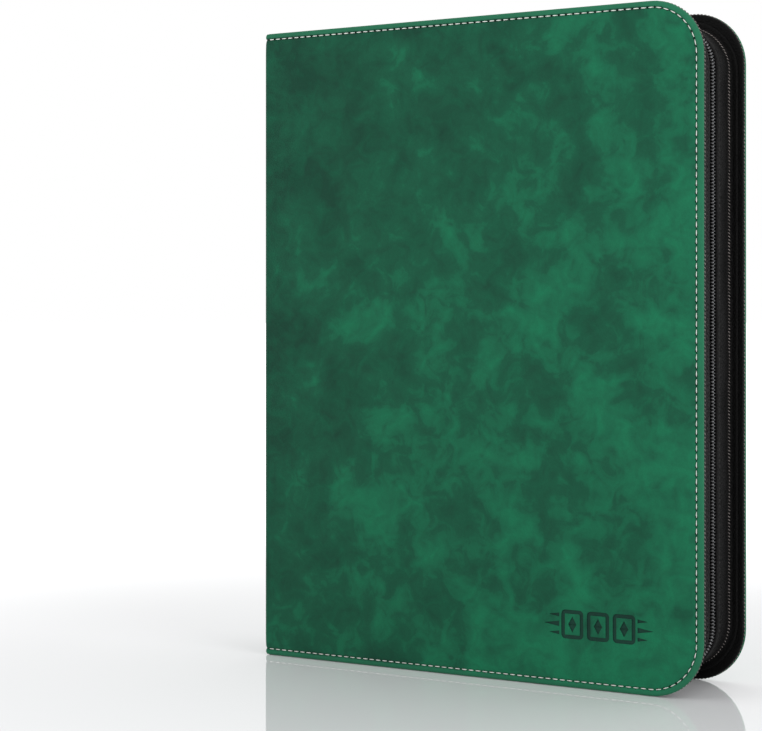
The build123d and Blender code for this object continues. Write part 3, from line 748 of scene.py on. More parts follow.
def cover_skin(side, pitch):
    """A padded cover as a closed slab: turned edge, edge roll, stitch groove and gently uneven field."""
    points = [(COVER_START, cover_point(side, depth), HEIGHT - inset) for depth, inset in COVER_EDGE]
    shape = sweep(points, COVER_LINE.steps(8.0), closed=False, across=[inset for _, inset in COVER_EDGE])
    shape.verts.ensure_lookup_table()
    outer = cover_point(side, 0)
    field_ends = [v for v in shape.verts if abs(v.co.x - COVER_START) < NEAR and abs(v.co.y - outer) < NEAR]
    shape.edges.new(field_ends)
    field_edges = [e for e in shape.edges if all(abs(v.co.y - outer) < NEAR for v in e.verts)]
    bmesh.ops.edgenet_fill(shape, edges=field_edges)
    for axis, low, high in ((0, COVER_START, FORE_X), (2, 0.0, HEIGHT)):
        normal = Vector((0, 0, 0))
        normal[axis] = 1
        count = int((high - low) / 9)
        for index in range(1, count):
            bmesh.ops.bisect_plane(shape, geom=shape.verts[:] + shape.edges[:] + shape.faces[:], dist=NEAR,
                                   plane_co=normal * (low + (high - low) * index / count), plane_no=normal)
    for vertex in shape.verts:
        if abs(vertex.co.y - outer) < 0.06:
            field = min(1.0, min(FORE_X - vertex.co.x, vertex.co.z, HEIGHT - vertex.co.z) / 22)
            swell = noise.noise(Vector((vertex.co.x, side * 50, vertex.co.z)) / 34) * 0.3 + 0.02
            vertex.co.y += side * swell * max(0.0, field - 0.35)
    back = cover_point(side, COVER_EDGE[0][0])
    back_ends = sorted((v for v in shape.verts if abs(v.co.x - COVER_START) < NEAR
                        and abs(v.co.y - back) < NEAR),
                       key=lambda v: v.co.z)
    shape.edges.new((back_ends[0], back_ends[-1]))
    back_edges = [e for e in shape.edges if all(abs(v.co.y - back) < NEAR for v in e.verts)]
    bmesh.ops.edgenet_fill(shape, edges=back_edges)
    bmesh.ops.holes_fill(shape, edges=[e for e in shape.edges if e.is_boundary], sides=0)
    bmesh.ops.recalc_face_normals(shape, faces=shape.faces)
    for face in shape.faces:
        if face.normal.x < -0.9:
            face.material_index = 2
    write_uv(shape, along_scale=1 / pitch)
    return shape


def fold_profile(thickness):
    """The edge profile from bottom to top of a strip as tall as the binder, as (depth, height) pairs."""
    rise = [(depth, inset) for depth, inset in COVER_EDGE if depth < thickness]
    lower = [(thickness, 1.6), *rise]
    return lower + [(depth, HEIGHT - height) for depth, height in reversed(lower)]


def debossed_mark():
    """The cutter for the pressed mark, in X-Y about the origin: frames, lozenges and tapered bars."""
    bars = []

    def bar(x1, y1, x2, y2, w1, w2):
        """A straight stroke whose width changes from one end to the other."""
        shape = rectangle(1, 1)
        length = hypot(x2 - x1, y2 - y1)
        for vertex in shape.verts:
            vertex.co.y *= w1 if vertex.co.x < 0 else w2
            vertex.co.x *= length
        thicken(shape, MARK_CUTTER)
        middle = Matrix.Translation(((x1 + x2) / 2, (y1 + y2) / 2, 0))
        put(shape, middle @ Matrix.Rotation(atan2(y2 - y1, x2 - x1), 4, "Z"))
        bars.append(shape)

    def card_frame(centre, width, height, stroke):
        """The outline of a rounded card."""
        shape = rectangle(width, height, 2.2, segments=4)
        middle = shape.faces[:]
        bmesh.ops.inset_region(shape, faces=middle, thickness=stroke, depth=0, use_boundary=True,
                               use_even_offset=True)
        bmesh.ops.delete(shape, geom=middle, context="FACES")
        thicken(shape, MARK_CUTTER)
        put(shape, Matrix.Translation((centre, 0, 0)))
        bars.append(shape)

    for centre in (-14.4, 0.0, 14.4):
        card_frame(centre, 12.4, 14.8, 2.0)
        bar(centre, -4.0, centre, 0.0, 0.1, 4.6)
        bar(centre, 0.02, centre, 4.02, 4.6, 0.1)
    for sign in (-1, 1):
        for height, reach, thick in ((0.0, 30.0, 2.8), (4.6, 27.0, 2.0), (-4.6, 27.0, 2.0)):
            low_end, high_end = sorted((sign * 21.8, sign * reach))
            bar(low_end, height, high_end, height, *((thick, 0.2) if sign > 0 else (0.2, thick)))
    return join(bars)


class SceneGroup:
    """Shared by every operator of the binder."""
    bl_options = {"REGISTER", "UNDO"}


class BINDER_OT_covers(SceneGroup, bpy.types.Operator):
    """Make the two padded covers, the spine and the leather that folds between them"""
    bl_idname = "card_binder.covers"
    bl_label = "Covers and spine"

    def execute(self, context):
        settings = context.scene.card_binder_cover
        pitch = settings.stitch_pitch / MM
        skin = [finish("nubuck_pu_leather"), finish("burnished_pu_leather"), finish("twill_lining")]
        for side, name in SIDES.items():
            piece = finish_piece(cover_skin(side, pitch), f"{name}_cover_skin", f"{name}_cover",
                                 skin,
                                 (f"{name}_cover_leather", f"{name}_cover_foam", f"{name}_cover_board"),
                                 sharp=50)
            if side == FRONT:
                self.press_mark(piece, settings)
        profile = fold_profile(LEATHER_BACK)
        points = [(SPINE_X + depth, -SPINE_HALF, height) for depth, height in profile]
        move = Matrix.Translation((0, SPINE_HALF / 4, 0))
        spine = sweep(points, [(move, SPINE_HALF / 4)] * 8, across=[min(h, HEIGHT - h) for _, h in profile])
        write_uv(spine, along_scale=1 / pitch)
        for face in spine.faces:
            if abs(face.normal.y) > 0.9 or face.normal.x > 0.9:
                face.material_index = 1
        finish_piece(spine, "spine_skin", "spine", [skin[0], skin[2]],
                     ("spine_leather", "spine_board"))
        for side, name in SIDES.items():
            self.fold(side, name, pitch, skin[:1])
        return {"FINISHED"}

    def press_mark(self, piece, settings):
        """Presses the generic mark into the lower outer corner of the front cover."""
        mark = debossed_mark()
        centre = Vector((settings.mark_x / MM, 0, settings.mark_z / MM))
        depth = settings.mark_depth / MM
        pressed_to = Matrix.Translation((centre.x, -HALF_THICKNESS + depth, centre.z))
        put(mark, pressed_to @ Matrix.Rotation(radians(90), 4, "X"))
        for face in mark.faces:
            face.material_index = 1
        bmesh.ops.scale(mark, vec=(MM, MM, MM), verts=mark.verts)
        mesh = bpy.data.meshes.new("mark")
        mark.to_mesh(mesh)
        mark.free()
        cutter = bpy.data.objects.new("mark", mesh)
        bpy.context.scene.collection.objects.link(cutter)
        for material in piece.data.materials:
            mesh.materials.append(material)
        cut = piece.modifiers.new("mark", "BOOLEAN")
        cut.operation, cut.solver, cut.object = "DIFFERENCE", "EXACT", cutter
        cut.use_self = True
        pressed = bpy.data.meshes.new_from_object(piece.evaluated_get(bpy.context.evaluated_depsgraph_get()))
        piece.modifiers.clear()
        piece.data = pressed
        bpy.data.objects.remove(cutter)

    def fold(self, side, name, pitch, skin):
        """The leather that turns the corner from the spine to one cover."""
        profile = fold_profile(1.0)
        start_y = side * (SPINE_HALF - LAP)
        turn_y = side * (HALF_THICKNESS - FOLD_RADIUS)
        centre = Vector((SPINE_X + FOLD_RADIUS, turn_y, 0))
        points = [(SPINE_X + depth, start_y, height) for depth, height in profile]
        steps = [(Matrix.Translation((0, (turn_y - start_y) / 3, 0)), abs(turn_y - start_y) / 3)] * 3
        bend = Matrix.Translation(centre) @ Matrix.Rotation(-side * radians(90) / 8, 4,
                                                            "Z") @ Matrix.Translation(-centre)
        steps += [(bend, FOLD_RADIUS * pi / 16)] * 8
        flat_run = COVER_START + LAP - centre.x
        steps += [(Matrix.Translation((flat_run, 0, 0)), flat_run)]
        shape = sweep(points, steps, across=[min(h, HEIGHT - h) for _, h in profile])
        write_uv(shape, along_scale=1 / pitch)
        for face in shape.faces:
            middle = face.calc_center_median()
            across = Vector((middle.x - centre.x, middle.y - centre.y))
            reach = FOLD_RADIUS if middle.y * side > turn_y * side and middle.x < centre.x else 0
            depth = FOLD_RADIUS - across.length if reach else min(middle.x - SPINE_X,
                    HALF_THICKNESS - abs(middle.y))
            face.material_index = int(depth > 0.9)
        piece = finish_piece(shape, f"{name}_hinge_leather", None,
                             [*skin, finish("twill_lining")], (f"{name}_hinge_fold",))
        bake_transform(piece, "spine", f"{name}_cover", start=(SPINE_X * MM, side * SPINE_HALF * MM, 0),
                 end=(COVER_START * MM, side * HALF_THICKNESS * MM, 0))


class BINDER_OT_stitching(SceneGroup, bpy.types.Operator):
    """Sew the cream thread round the edges of the covers and spine"""
    bl_idname = "card_binder.stitching"
    bl_label = "Edge stitching"

    def execute(self, context):
        settings = context.scene.card_binder_cover
        pitch, length = settings.stitch_pitch / MM, settings.stitch_length / MM
        thread = [finish("cream_polyester_thread")]
        line = COVER_LINE.inset(STITCH_INSET)
        for side, name in SIDES.items():
            level = cover_point(side, STITCH_DEPTH)
            places = []
            for point, direction, _ in line.along(pitch):
                places.append(axes_matrix(Vector((point.x, level, point.z)), direction,
                                          Vector((0, side, 0))))
            finish_piece(copies(thread_stitch(length, 0.25), places), f"{name}_edge_stitches",
                         f"{name}_cover",
                         thread)
        places = []
        count = round(2 * SPINE_HALF / pitch)
        for index in range(count):
            y = -SPINE_HALF + 2 * SPINE_HALF * (index + 0.5) / count
            for z in (STITCH_INSET, HEIGHT - STITCH_INSET):
                places.append(axes_matrix(Vector((SPINE_X + STITCH_DEPTH, y, z)), Vector((0, 1, 0)),
                                          Vector((-1, 0, 0))))
        finish_piece(copies(thread_stitch(length, 0.25), places), "spine_edge_stitches", "spine",
                     thread)
        return {"FINISHED"}


class BINDER_OT_linings(SceneGroup, bpy.types.Operator):
    """Line the covers and the spine: black twill with a grained margin"""
    bl_idname = "card_binder.linings"
    bl_label = "Linings"

    def execute(self, context):
        cloth = [finish("grained_coated_fabric"), finish("twill_lining")]
        edge = ((LEATHER_BACK + 0.02, 0.5), (2.75, 0.3), (3.3, 0.22), (4.2, 0.3), (4.8, 0.6), (5.0, 1.3),
                (4.98, 2.6), (5.0, 8.4))
        for side, name in SIDES.items():
            points = [(COVER_START, cover_point(side, depth), HEIGHT - inset) for depth, inset in edge]
            shape = sweep(points, COVER_LINE.steps(40.0), closed=False, across=[inset for _, inset in edge])
            for depth, inset in (edge[0], edge[-1]):
                level = cover_point(side, depth)
                ends = [v for v in shape.verts if abs(v.co.x - COVER_START) < NEAR
                        and abs(v.co.y - level) < NEAR
                        and min(abs(v.co.z - inset), abs(HEIGHT - inset - v.co.z)) < NEAR]
                closing = shape.edges.new(ends)
                border = [closing] + [e for e in shape.edges if e.is_boundary
                                      and all(abs(v.co.y - level) < NEAR for v in e.verts)]
                made = bmesh.ops.edgenet_fill(shape, edges=border)["faces"]
                for face in made:
                    face.material_index = 1
            bmesh.ops.holes_fill(shape, edges=[e for e in shape.edges if e.is_boundary], sides=0)
            bmesh.ops.recalc_face_normals(shape, faces=shape.faces)
            write_uv(shape)
            piece = finish_piece(shape, f"{name}_lining", f"{name}_cover", cloth,
                                 (f"{name}_cover_lining",))
            line = COVER_LINE.inset(0.1)
            places = [axes_matrix(Vector((p.x, cover_point(side, LINING_SEAM), p.z)),
                                  (t + Vector((0, 0.5, 0))).normalized(), n) for p, t,
                                  n in line.along(2.05, 1, 1)]
            finish_piece(copies(thread_stitch(1.4, 0.26, sides=5, dip=0.3), places),
                         f"{name}_lining_stitches", f"{name}_cover",
                         [finish("grey_brown_thread")])
        shape = rounded_plate(2 * LINING_HIGH.y, LINING_HIGH.z - LINING_LOW.z, 1.0, 1.0, bevel=0.3)
        put(shape, Matrix.Translation((LINING_LOW.x, 0, (LINING_LOW.z + LINING_HIGH.z) / 2)) @ UPRIGHT)
        piece = finish_piece(shape, "spine_lining_cloth", "spine", cloth[1:], ("spine_lining",))
        return {"FINISHED"}


class BINDER_OT_gussets(SceneGroup, bpy.types.Operator):
    """Make the fabric walls round the fore-edge, their seams, and the folded tucks at the spine"""
    bl_idname = "card_binder.gussets"
    bl_label = "Gussets"

    def execute(self, context):
        settings = context.scene.card_binder_zip
        edges = {FRONT: GUSSET_HIGH.y, BACK: BACK_GUSSET_LOW.y}
        fabric, thread = [finish("grained_coated_fabric")], [finish("black_polyester_thread")]
        for side, name in SIDES.items():
            base = cover_point(side, LINING_FACE)
            depth = abs(base - edges[side])
            profile = [(0.02, -3.95), (0.4, -4.0), (0.78, -3.8), (0.9, -3.0), (0.8, -1.8), (0.86, -0.9),
                       (1.2, -0.25), (1.8, 0.1),
                       (2.1, -0.25), (2.7, -0.42), (3.6, -0.42), (4.2, -0.22), (4.5, 0.1), (5.6, 0.0),
                       (8.0, 0.0), (11.0, 0.0), (depth - 5.4, 0.0), (depth - 4.4, -0.06),
                       (depth - 3.9, 0.16), (depth - 3.4, -0.08), (depth - 2.2, -0.12),
                       (depth - 0.9, -0.08), (depth - 0.15, 0.25),
                       (depth, 0.75), (depth - 0.15, 1.25), (depth - 1.0, 1.5), (8.0, 1.5), (0.02, 1.5)]
            points = [(GUSSET_LINE.start_x, base - side * d, GUSSET_LINE.high - inset) for d,
                      inset in profile]
            shape = sweep(points, GUSSET_LINE.steps(5.0, 18), across=[d for d, _ in profile])
            self.ruffle(shape, side, base, depth, settings.gusset_waviness / MM)
            write_uv(shape)
            piece = finish_piece(shape, f"{name}_gusset_wall", f"{name}_cover", fabric,
                                 (f"{name}_gusset",), sharp=60)
            places = [axes_matrix(Vector((p.x, base - side * GUSSET_SEAM, p.z)) + n * 0.5,
                                  (Vector((0, 1, 0)) + t * 0.45).normalized(), n) for p, t,
                                  n in GUSSET_LINE.along(1.7, 1, 1)]
            rows = copies(thread_stitch(2.2, 0.22, sides=5, dip=0.35), places)
            places = [axes_matrix(Vector((p.x, base - side * (depth - GUSSET_HEM), p.z)) - n * 0.1, t, n)
                      for p, t, n in GUSSET_LINE.along(2.9, 1, 1)]
            hems = copies(thread_stitch(2.1, 0.26, sides=5, dip=0.3), places)
            finish_piece(hems, f"{name}_gusset_hems", f"{name}_cover", thread)
            finish_piece(rows, f"{name}_gusset_seams", f"{name}_cover",
                         [finish("grey_brown_thread")])
            self.tuck(side, name, fabric)
        return {"FINISHED"}

    def ruffle(self, shape, side, base, depth, amount):
        """Lets the wall swell and dip a little between its two seams."""
        along_layer = shape.verts.layers.float["along"]
        centre = Vector(((GUSSET_LINE.start_x + GUSSET_X) / 2, 0, (GUSSET_LINE_LOW + GUSSET_LINE_HIGH) / 2))
        for vertex in shape.verts:
            d = abs(base - vertex.co.y)
            if 2.0 < d < depth - 0.1:
                share = sin(pi * min(1.0, (d - 2.0) / (depth - 1.5))) ** 0.7
                offset = noise.noise(Vector((vertex[along_layer] / 17, side * 9.0, d / 16))) * amount
                flat = Vector((vertex.co.x, 0, vertex.co.z)) - centre
                if abs(flat.x) / (GUSSET_X - centre.x) > abs(flat.z) / (GUSSET_LINE_HIGH - centre.z):
                    vertex.co.x += offset * share * (1 if flat.x > 0 else -1) * (flat.x > 0)
                else:
                    vertex.co.z += offset * share * (1 if flat.z > 0 else -1)

    def tuck(self, side, name, fabric):
        """The gusset's fabric where it folds in on itself and runs on to the spine, at both ends."""
        low, high = frame_box(f"{name}_spine_tuck")
        outer_y, inner_y = (low.y, high.y) if side == FRONT else (high.y, low.y)
        parts = []
        for base_z, sag in ((high.z - GUSSET_FABRIC / 2, -1.0), (low.z + GUSSET_FABRIC / 2, 1.0)):
            count = 22
            upper, lower = [], []
            for index in range(count + 1):
                share = index / count
                y = outer_y + (inner_y - outer_y) * share
                fold = sag * (1.0 * sin(pi * share) + 0.42 * sin(3 * pi * share) ** 2)
                upper.append((low.x, y, base_z + fold + 0.5))
                lower.append((low.x, y, base_z + fold - 0.5))
            step = (high.x - low.x) / 6
            shape = sweep(upper + lower[::-1], [(Matrix.Translation((step, 0, 0)), step)] * 6)
            for vertex in shape.verts:
                across = (vertex.co.x - low.x) / (high.x - low.x)
                vertex.co.z += sag * 0.5 * sin(pi * across)
            write_uv(shape)
            parts.append(shape)
        piece = finish_piece(join(parts), f"{name}_tuck_fabric", None, fabric,
                             (f"{name}_spine_tuck",), sharp=60)
        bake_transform(piece, "spine", f"{name}_cover", start=(low.x * MM, 0, 0),
                 end=(high.x * MM, side * 0.004, 0))


class BINDER_OT_zip(SceneGroup, bpy.types.Operator):
    """Make the zip: woven tapes, coil teeth with painted glints, and the stops"""
    bl_idname = "card_binder.zip"
    bl_label = "Zip tapes and coils"

    def execute(self, context):
        settings = context.scene.card_binder_zip
        tape = [finish("woven_zip_tape")]
        for side, name in SIDES.items():
            low, high = frame_box(f"{name}_zip_tape")
            outer_y, inner_y = (low.y, high.y) if side == FRONT else (high.y, low.y)
            ys = [outer_y + (inner_y - outer_y) * share for share in (0, 0.25, 0.5, 0.7, 0.85, 1.0)]
            sink = (0.1, 0.1, 0.1, 0.02, 0.0, 0.0)
            outer = [(GUSSET_LINE.start_x, y, GUSSET_LINE.high - GUSSET_FABRIC - down) for y,
                     down in zip(ys, sink)]
            inner = [(x, y, z - TAPE_THICKNESS) for x, y, z in outer]
            shape = sweep(outer + inner[::-1], GUSSET_LINE.steps(5.0, 18),
                          across=[p[1] for p in outer + inner[::-1]])
            write_uv(shape, MM, MM)
            piece = finish_piece(shape, f"{name}_tape", f"{name}_cover", tape,
                                 (f"{name}_zip_tape",))
            self.coil(side, name, settings.tooth_pitch / MM)
        paint(context.scene.objects["zip_end_stops"], "black_enamelled_zinc")
        return {"FINISHED"}

    def coil(self, side, name, pitch):
        """One row of coil: a nylon loop for each tooth, with a small light spindle on it that is a painted
        glint, brighter on the front row and dimmer on the back.
        """
        low, high = frame_box(f"{name}_zip_coil")
        middle_y = (low.y + high.y) / 2
        reach = (high.y - low.y) / 2 + 0.28
        count = round(COIL_LINE.length() / pitch)
        places, dots = [], []
        for index in range(count):
            distance = COIL_LINE.length() * (index + (0.25 if side == FRONT else 0.75)) / count
            point, direction, normal = COIL_LINE.at(distance)
            y = middle_y - side * 0.3
            places.append(axes_matrix(Vector((point.x, y, point.z)) - normal * 0.72, direction, normal))
            # painted glint: a light spindle near each tooth's crown
            dots.append(axes_matrix(Vector((point.x, ZIP_Y + side * 0.95, point.z)) + normal * 0.04,
                                    direction, normal))
        tooth = turned([(0.0, -reach), (0.42, -reach + 0.12), (0.52, -reach + 0.5), (0.44, 0.0),
                        (0.5, reach - 0.5), (0.4, reach - 0.1), (0.0, reach)], 8)
        bmesh.ops.scale(tooth, vec=(1.0, 1.55, 1.0), verts=tooth.verts)
        lay(tooth, 90, "X")
        dot = turned([(0.0, -0.4), (0.24, -0.26), (0.36, 0.0), (0.24, 0.26), (0.0, 0.4)], 6)
        lay(dot, 90, "Y")
        rows = join([copies(tooth, places), copies(dot, dots, material=1)])
        # front row gets the brighter painted glint, back row the dimmer one
        finish_piece(rows, f"{name}_coil_teeth", f"{name}_cover",
                     [finish("nylon_coil"), finish("bright_painted_coil_glint" if side == FRONT
                                                   else "dim_painted_coil_glint")],
                     (f"{name}_zip_coil",), sharp=70)


def paint(node, name):
    """Gives a CAD node that stays in sight its real finish."""
    node.data.materials.clear()
    node.data.materials.append(finish(name))


class BINDER_OT_slider(SceneGroup, bpy.types.Operator):
    """Finish the zip slider and make its pull tab"""
    bl_idname = "card_binder.slider"
    bl_label = "Slider and pull tab"

    def execute(self, context):
        for node in ("slider_body", "slider_bail"):
            paint(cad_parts[node], "black_enamelled_zinc")
        low, high = frame_box("zip_puller")
        pivot = Vector((low.x + 0.7, (low.y + high.y) / 2, (low.z + high.z) / 2))
        width, thickness, window = high.y - low.y, high.z - low.z, 5.0
        length = high.x - pivot.x - window
        tab = rounded_plate(length, width, 3.6, thickness, segments=8, bevel=0.3)
        for level in (0.0, thickness):
            face = [f for f in tab.faces if abs(f.calc_center_median().z - level) < NEAR
                    and f.calc_area() > 50]
            bmesh.ops.inset_region(tab, faces=face, thickness=1.3, depth=0)
            bmesh.ops.inset_region(tab, faces=face, thickness=0.25, depth=-0.25)
        put(tab, Matrix.Translation((pivot.x + window + length / 2, pivot.y, pivot.z - thickness / 2)))
        arms, arm_length = [], window + 2.2
        for side in SIDES:
            arm = rounded_plate(arm_length, 1.5, 0.4, thickness, segments=2, bevel=0.25)
            put(arm, Matrix.Translation((pivot.x + arm_length / 2 - 0.5, pivot.y + side * 2.25,
                                         pivot.z - thickness / 2)))
            arms.append(arm)
        pin = turned([(0.0, -3.0), (0.45, -3.0), (0.6, -2.8), (0.6, 2.8), (0.45, 3.0), (0.0, 3.0)], 12)
        lay(pin, 90, "X")
        put(pin, Matrix.Translation(pivot))
        finish_piece(join([tab, *arms, pin]), "pull_tab", "zip_puller",
                     [finish("black_enamelled_zinc")], ("zip_puller",), sharp=35)
        return {"FINISHED"}


class BINDER_OT_rings(SceneGroup, bpy.types.Operator):
    """Give the ring mechanism its plated and enamelled finishes"""
    bl_idname = "card_binder.rings"
    bl_label = "Ring mechanism"

    def execute(self, context):
        for name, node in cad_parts.items():
            if "half_ring" in name or name == "plate_rivets":
                paint(node, "nickel_plated_steel")
            elif name == "ring_plate" or "ring_blade" in name:
                paint(node, "dark_enamelled_steel")
        return {"FINISHED"}


LEAVES = ("leaf_2", "leaf_1", "stack")
MARGIN_LEAN = 0.13
RING_SPACING = 107.95
HOLE_RADIUS = 4.25
HOLE_TO_PANEL = 9.0
HOLE_STRETCH = 4.1
FILM_THICKNESS = 0.5
SHEET_THICKNESS = 0.25
CARD_THICKNESS = 0.3
CORNER = 3.0  # of cards and sheets
FILM_LEVEL = 0.42  # of the welded film, from the page's open side
FILM_LIFT = 0.4
CLEARANCE = 0.01
UPRIGHT = Matrix(((0, 0, 1, 0), (1, 0, 0, 0), (0, 1, 0, 0), (0, 0, 0, 1)))


class BINDER_OT_pages(SceneGroup, bpy.types.Operator):
    """Make the nine-pocket pages: white sheets, clear film, cards and punched margins"""
    bl_idname = "card_binder.pages"
    bl_label = "Pages and cards"

    def execute(self, context):
        settings = context.scene.card_binder_page
        number = 0
        for side, name in SIDES.items():
            for leaf in LEAVES:
                prefix = f"{name}_{leaf}"
                low, high = frame_box(f"{prefix}_sheets")
                film_low, film_high = frame_box(f"{prefix}_pockets")
                pages = settings.stack_pages if leaf == "stack" else 1
                first = film_high.y if side == FRONT else film_low.y
                step = settings.stack_pitch / MM
                levels = [first + side * step * index for index in range(pages)]
                number = self.leaf(side, prefix, low, high, levels, number, settings)
        return {"FINISHED"}

    def leaf(self, side, prefix, low, high, levels, number, settings):
        """The pages of one leaf: each has its film towards the rings' middle plane."""
        width, height = high.x - low.x, high.z - low.z
        centre = Vector(((low.x + high.x) / 2, 0, (low.z + high.z) / 2))
        card_width, card_height = settings.card_width / MM, settings.card_height / MM
        gap_x, gap_z = settings.pocket_pitch_x / MM, settings.pocket_pitch_z / MM
        sheets, films, cards = [], [], []
        for level in levels:
            # local X-Y of a plate is X-Z here, and its thickness runs away from the rings
            upright = Matrix.Translation((centre.x, level, centre.z)) @ Matrix(((1, 0, 0, 0),
                    (0, 0, side, 0), (0, 1, 0, 0), (0, 0, 0, 1)))
            sheet = rounded_plate(width, height, CORNER, SHEET_THICKNESS)
            put(sheet, upright @ Matrix.Translation((0, 0, FILM_THICKNESS + 2 * CLEARANCE)))
            sheets.append(sheet)
            film = self.film(width, height, gap_x, gap_z)
            put(film, upright)
            films.append(film)
            for row in (-1, 0, 1):
                for column in (-1, 0, 1):
                    number += 1
                    card = rounded_plate(card_width, card_height, CORNER, CARD_THICKNESS, segments=3)
                    self.print_card(card, card_width, card_height, number)
                    pocket = (column * gap_x, row * gap_z, FILM_THICKNESS - CARD_THICKNESS - CLEARANCE)
                    put(card, upright @ Matrix.Translation(pocket))
                    cards.append(card)
        for shapes, suffix, finish_name, slot_name in ((sheets, "sheets", "polypropylene_sheet",
                "page_sheet"), (films, "pockets", "clear_pocket_film", "pocket_film"),
                (cards, "cards", "printed_foil_card", "card_stock")):
            whole = join(shapes)
            bmesh.ops.recalc_face_normals(whole, faces=whole.faces)
            finish_piece(whole, f"{prefix}_{suffix}_made", prefix, [finish(finish_name)],
                         (f"{prefix}_{suffix}",))
        self.margin(side, prefix, low.x, (low.z + high.z) / 2)
        return number

    def film(self, width, height, gap_x, gap_z):
        """The pocketed film of one page, lifted a little over each card."""
        shape = bmesh.new()
        bmesh.ops.create_grid(shape, x_segments=3, y_segments=3, size=0.5)
        lines_x = (-width / 2, -gap_x / 2, gap_x / 2, width / 2)
        lines_y = (-height / 2, -gap_z / 2, gap_z / 2, height / 2)
        for vertex in shape.verts:
            vertex.co.x = lines_x[round((vertex.co.x + 0.5) * 3)]
            vertex.co.y = lines_y[round((vertex.co.y + 0.5) * 3)]
            vertex.co.z = FILM_LEVEL
        bmesh.ops.inset_individual(shape, faces=shape.faces[:], thickness=0.8, use_even_offset=True)
        pockets = sorted(shape.faces, key=lambda f: -f.calc_area())[:9]
        bmesh.ops.inset_individual(shape, faces=pockets, thickness=0.9, use_even_offset=True)
        pockets = sorted(shape.faces, key=lambda f: -f.calc_area())[:9]
        lifted = {v for f in pockets for v in f.verts}
        bmesh.ops.translate(shape, vec=(0, 0, -FILM_LIFT), verts=list(lifted))
        uv_layer = shape.loops.layers.uv.new("Sweep")
        for face in shape.faces:
            for loop in face.loops:
                x, y = loop.vert.co.x, loop.vert.co.y
                away_x, away_y = min(abs(x - line) for line in lines_x), min(abs(y - line)
                        for line in lines_y)
                centre = face.calc_center_median()
                near_x = min(abs(centre.x - line) for line in lines_x)
                near_y = min(abs(centre.y - line) for line in lines_y)
                loop[uv_layer].uv = (y, away_x) if near_x < near_y else (x, away_y)
        return shape

    def print_card(self, card, width, height, number):
        """Lays the card's own 0 to 1 map on its face and stores its number."""
        uv_layer = card.loops.layers.uv.new("Sweep")
        number_layer = card.verts.layers.float.new("card_number")
        for vertex in card.verts:
            vertex[number_layer] = number
        for face in card.faces:
            for loop in face.loops:
                loop[uv_layer].uv = (loop.vert.co.x / width + 0.5, loop.vert.co.y / height + 0.5)

    def margin(self, side, prefix, panel_x, middle_z):
        """The punched strip on the rings; its holes are oval, so that the wire can swing open in them."""
        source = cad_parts[f"{prefix}_binding"]
        shape = bmesh.new()
        shape.from_mesh(source.data)
        bmesh.ops.remove_doubles(shape, verts=shape.verts, dist=1e-6)
        bmesh.ops.scale(shape, vec=(1 / MM,) * 3, verts=shape.verts)
        for face in shape.faces:
            face.material_index = 0
        for vertex in shape.verts:
            for level in (-RING_SPACING, 0, RING_SPACING):
                across, up = vertex.co.x - (panel_x - HOLE_TO_PANEL), vertex.co.z - (middle_z + level)
                if hypot(across, up) < HOLE_RADIUS + 0.1 and across > 0:
                    vertex.co.x += HOLE_STRETCH
            vertex.co.y -= side * MARGIN_LEAN * (panel_x - vertex.co.x)
        finish_piece(shape, f"{prefix}_margin", prefix, [finish("polypropylene_sheet")],
                     (f"{prefix}_binding",), sharp=30)


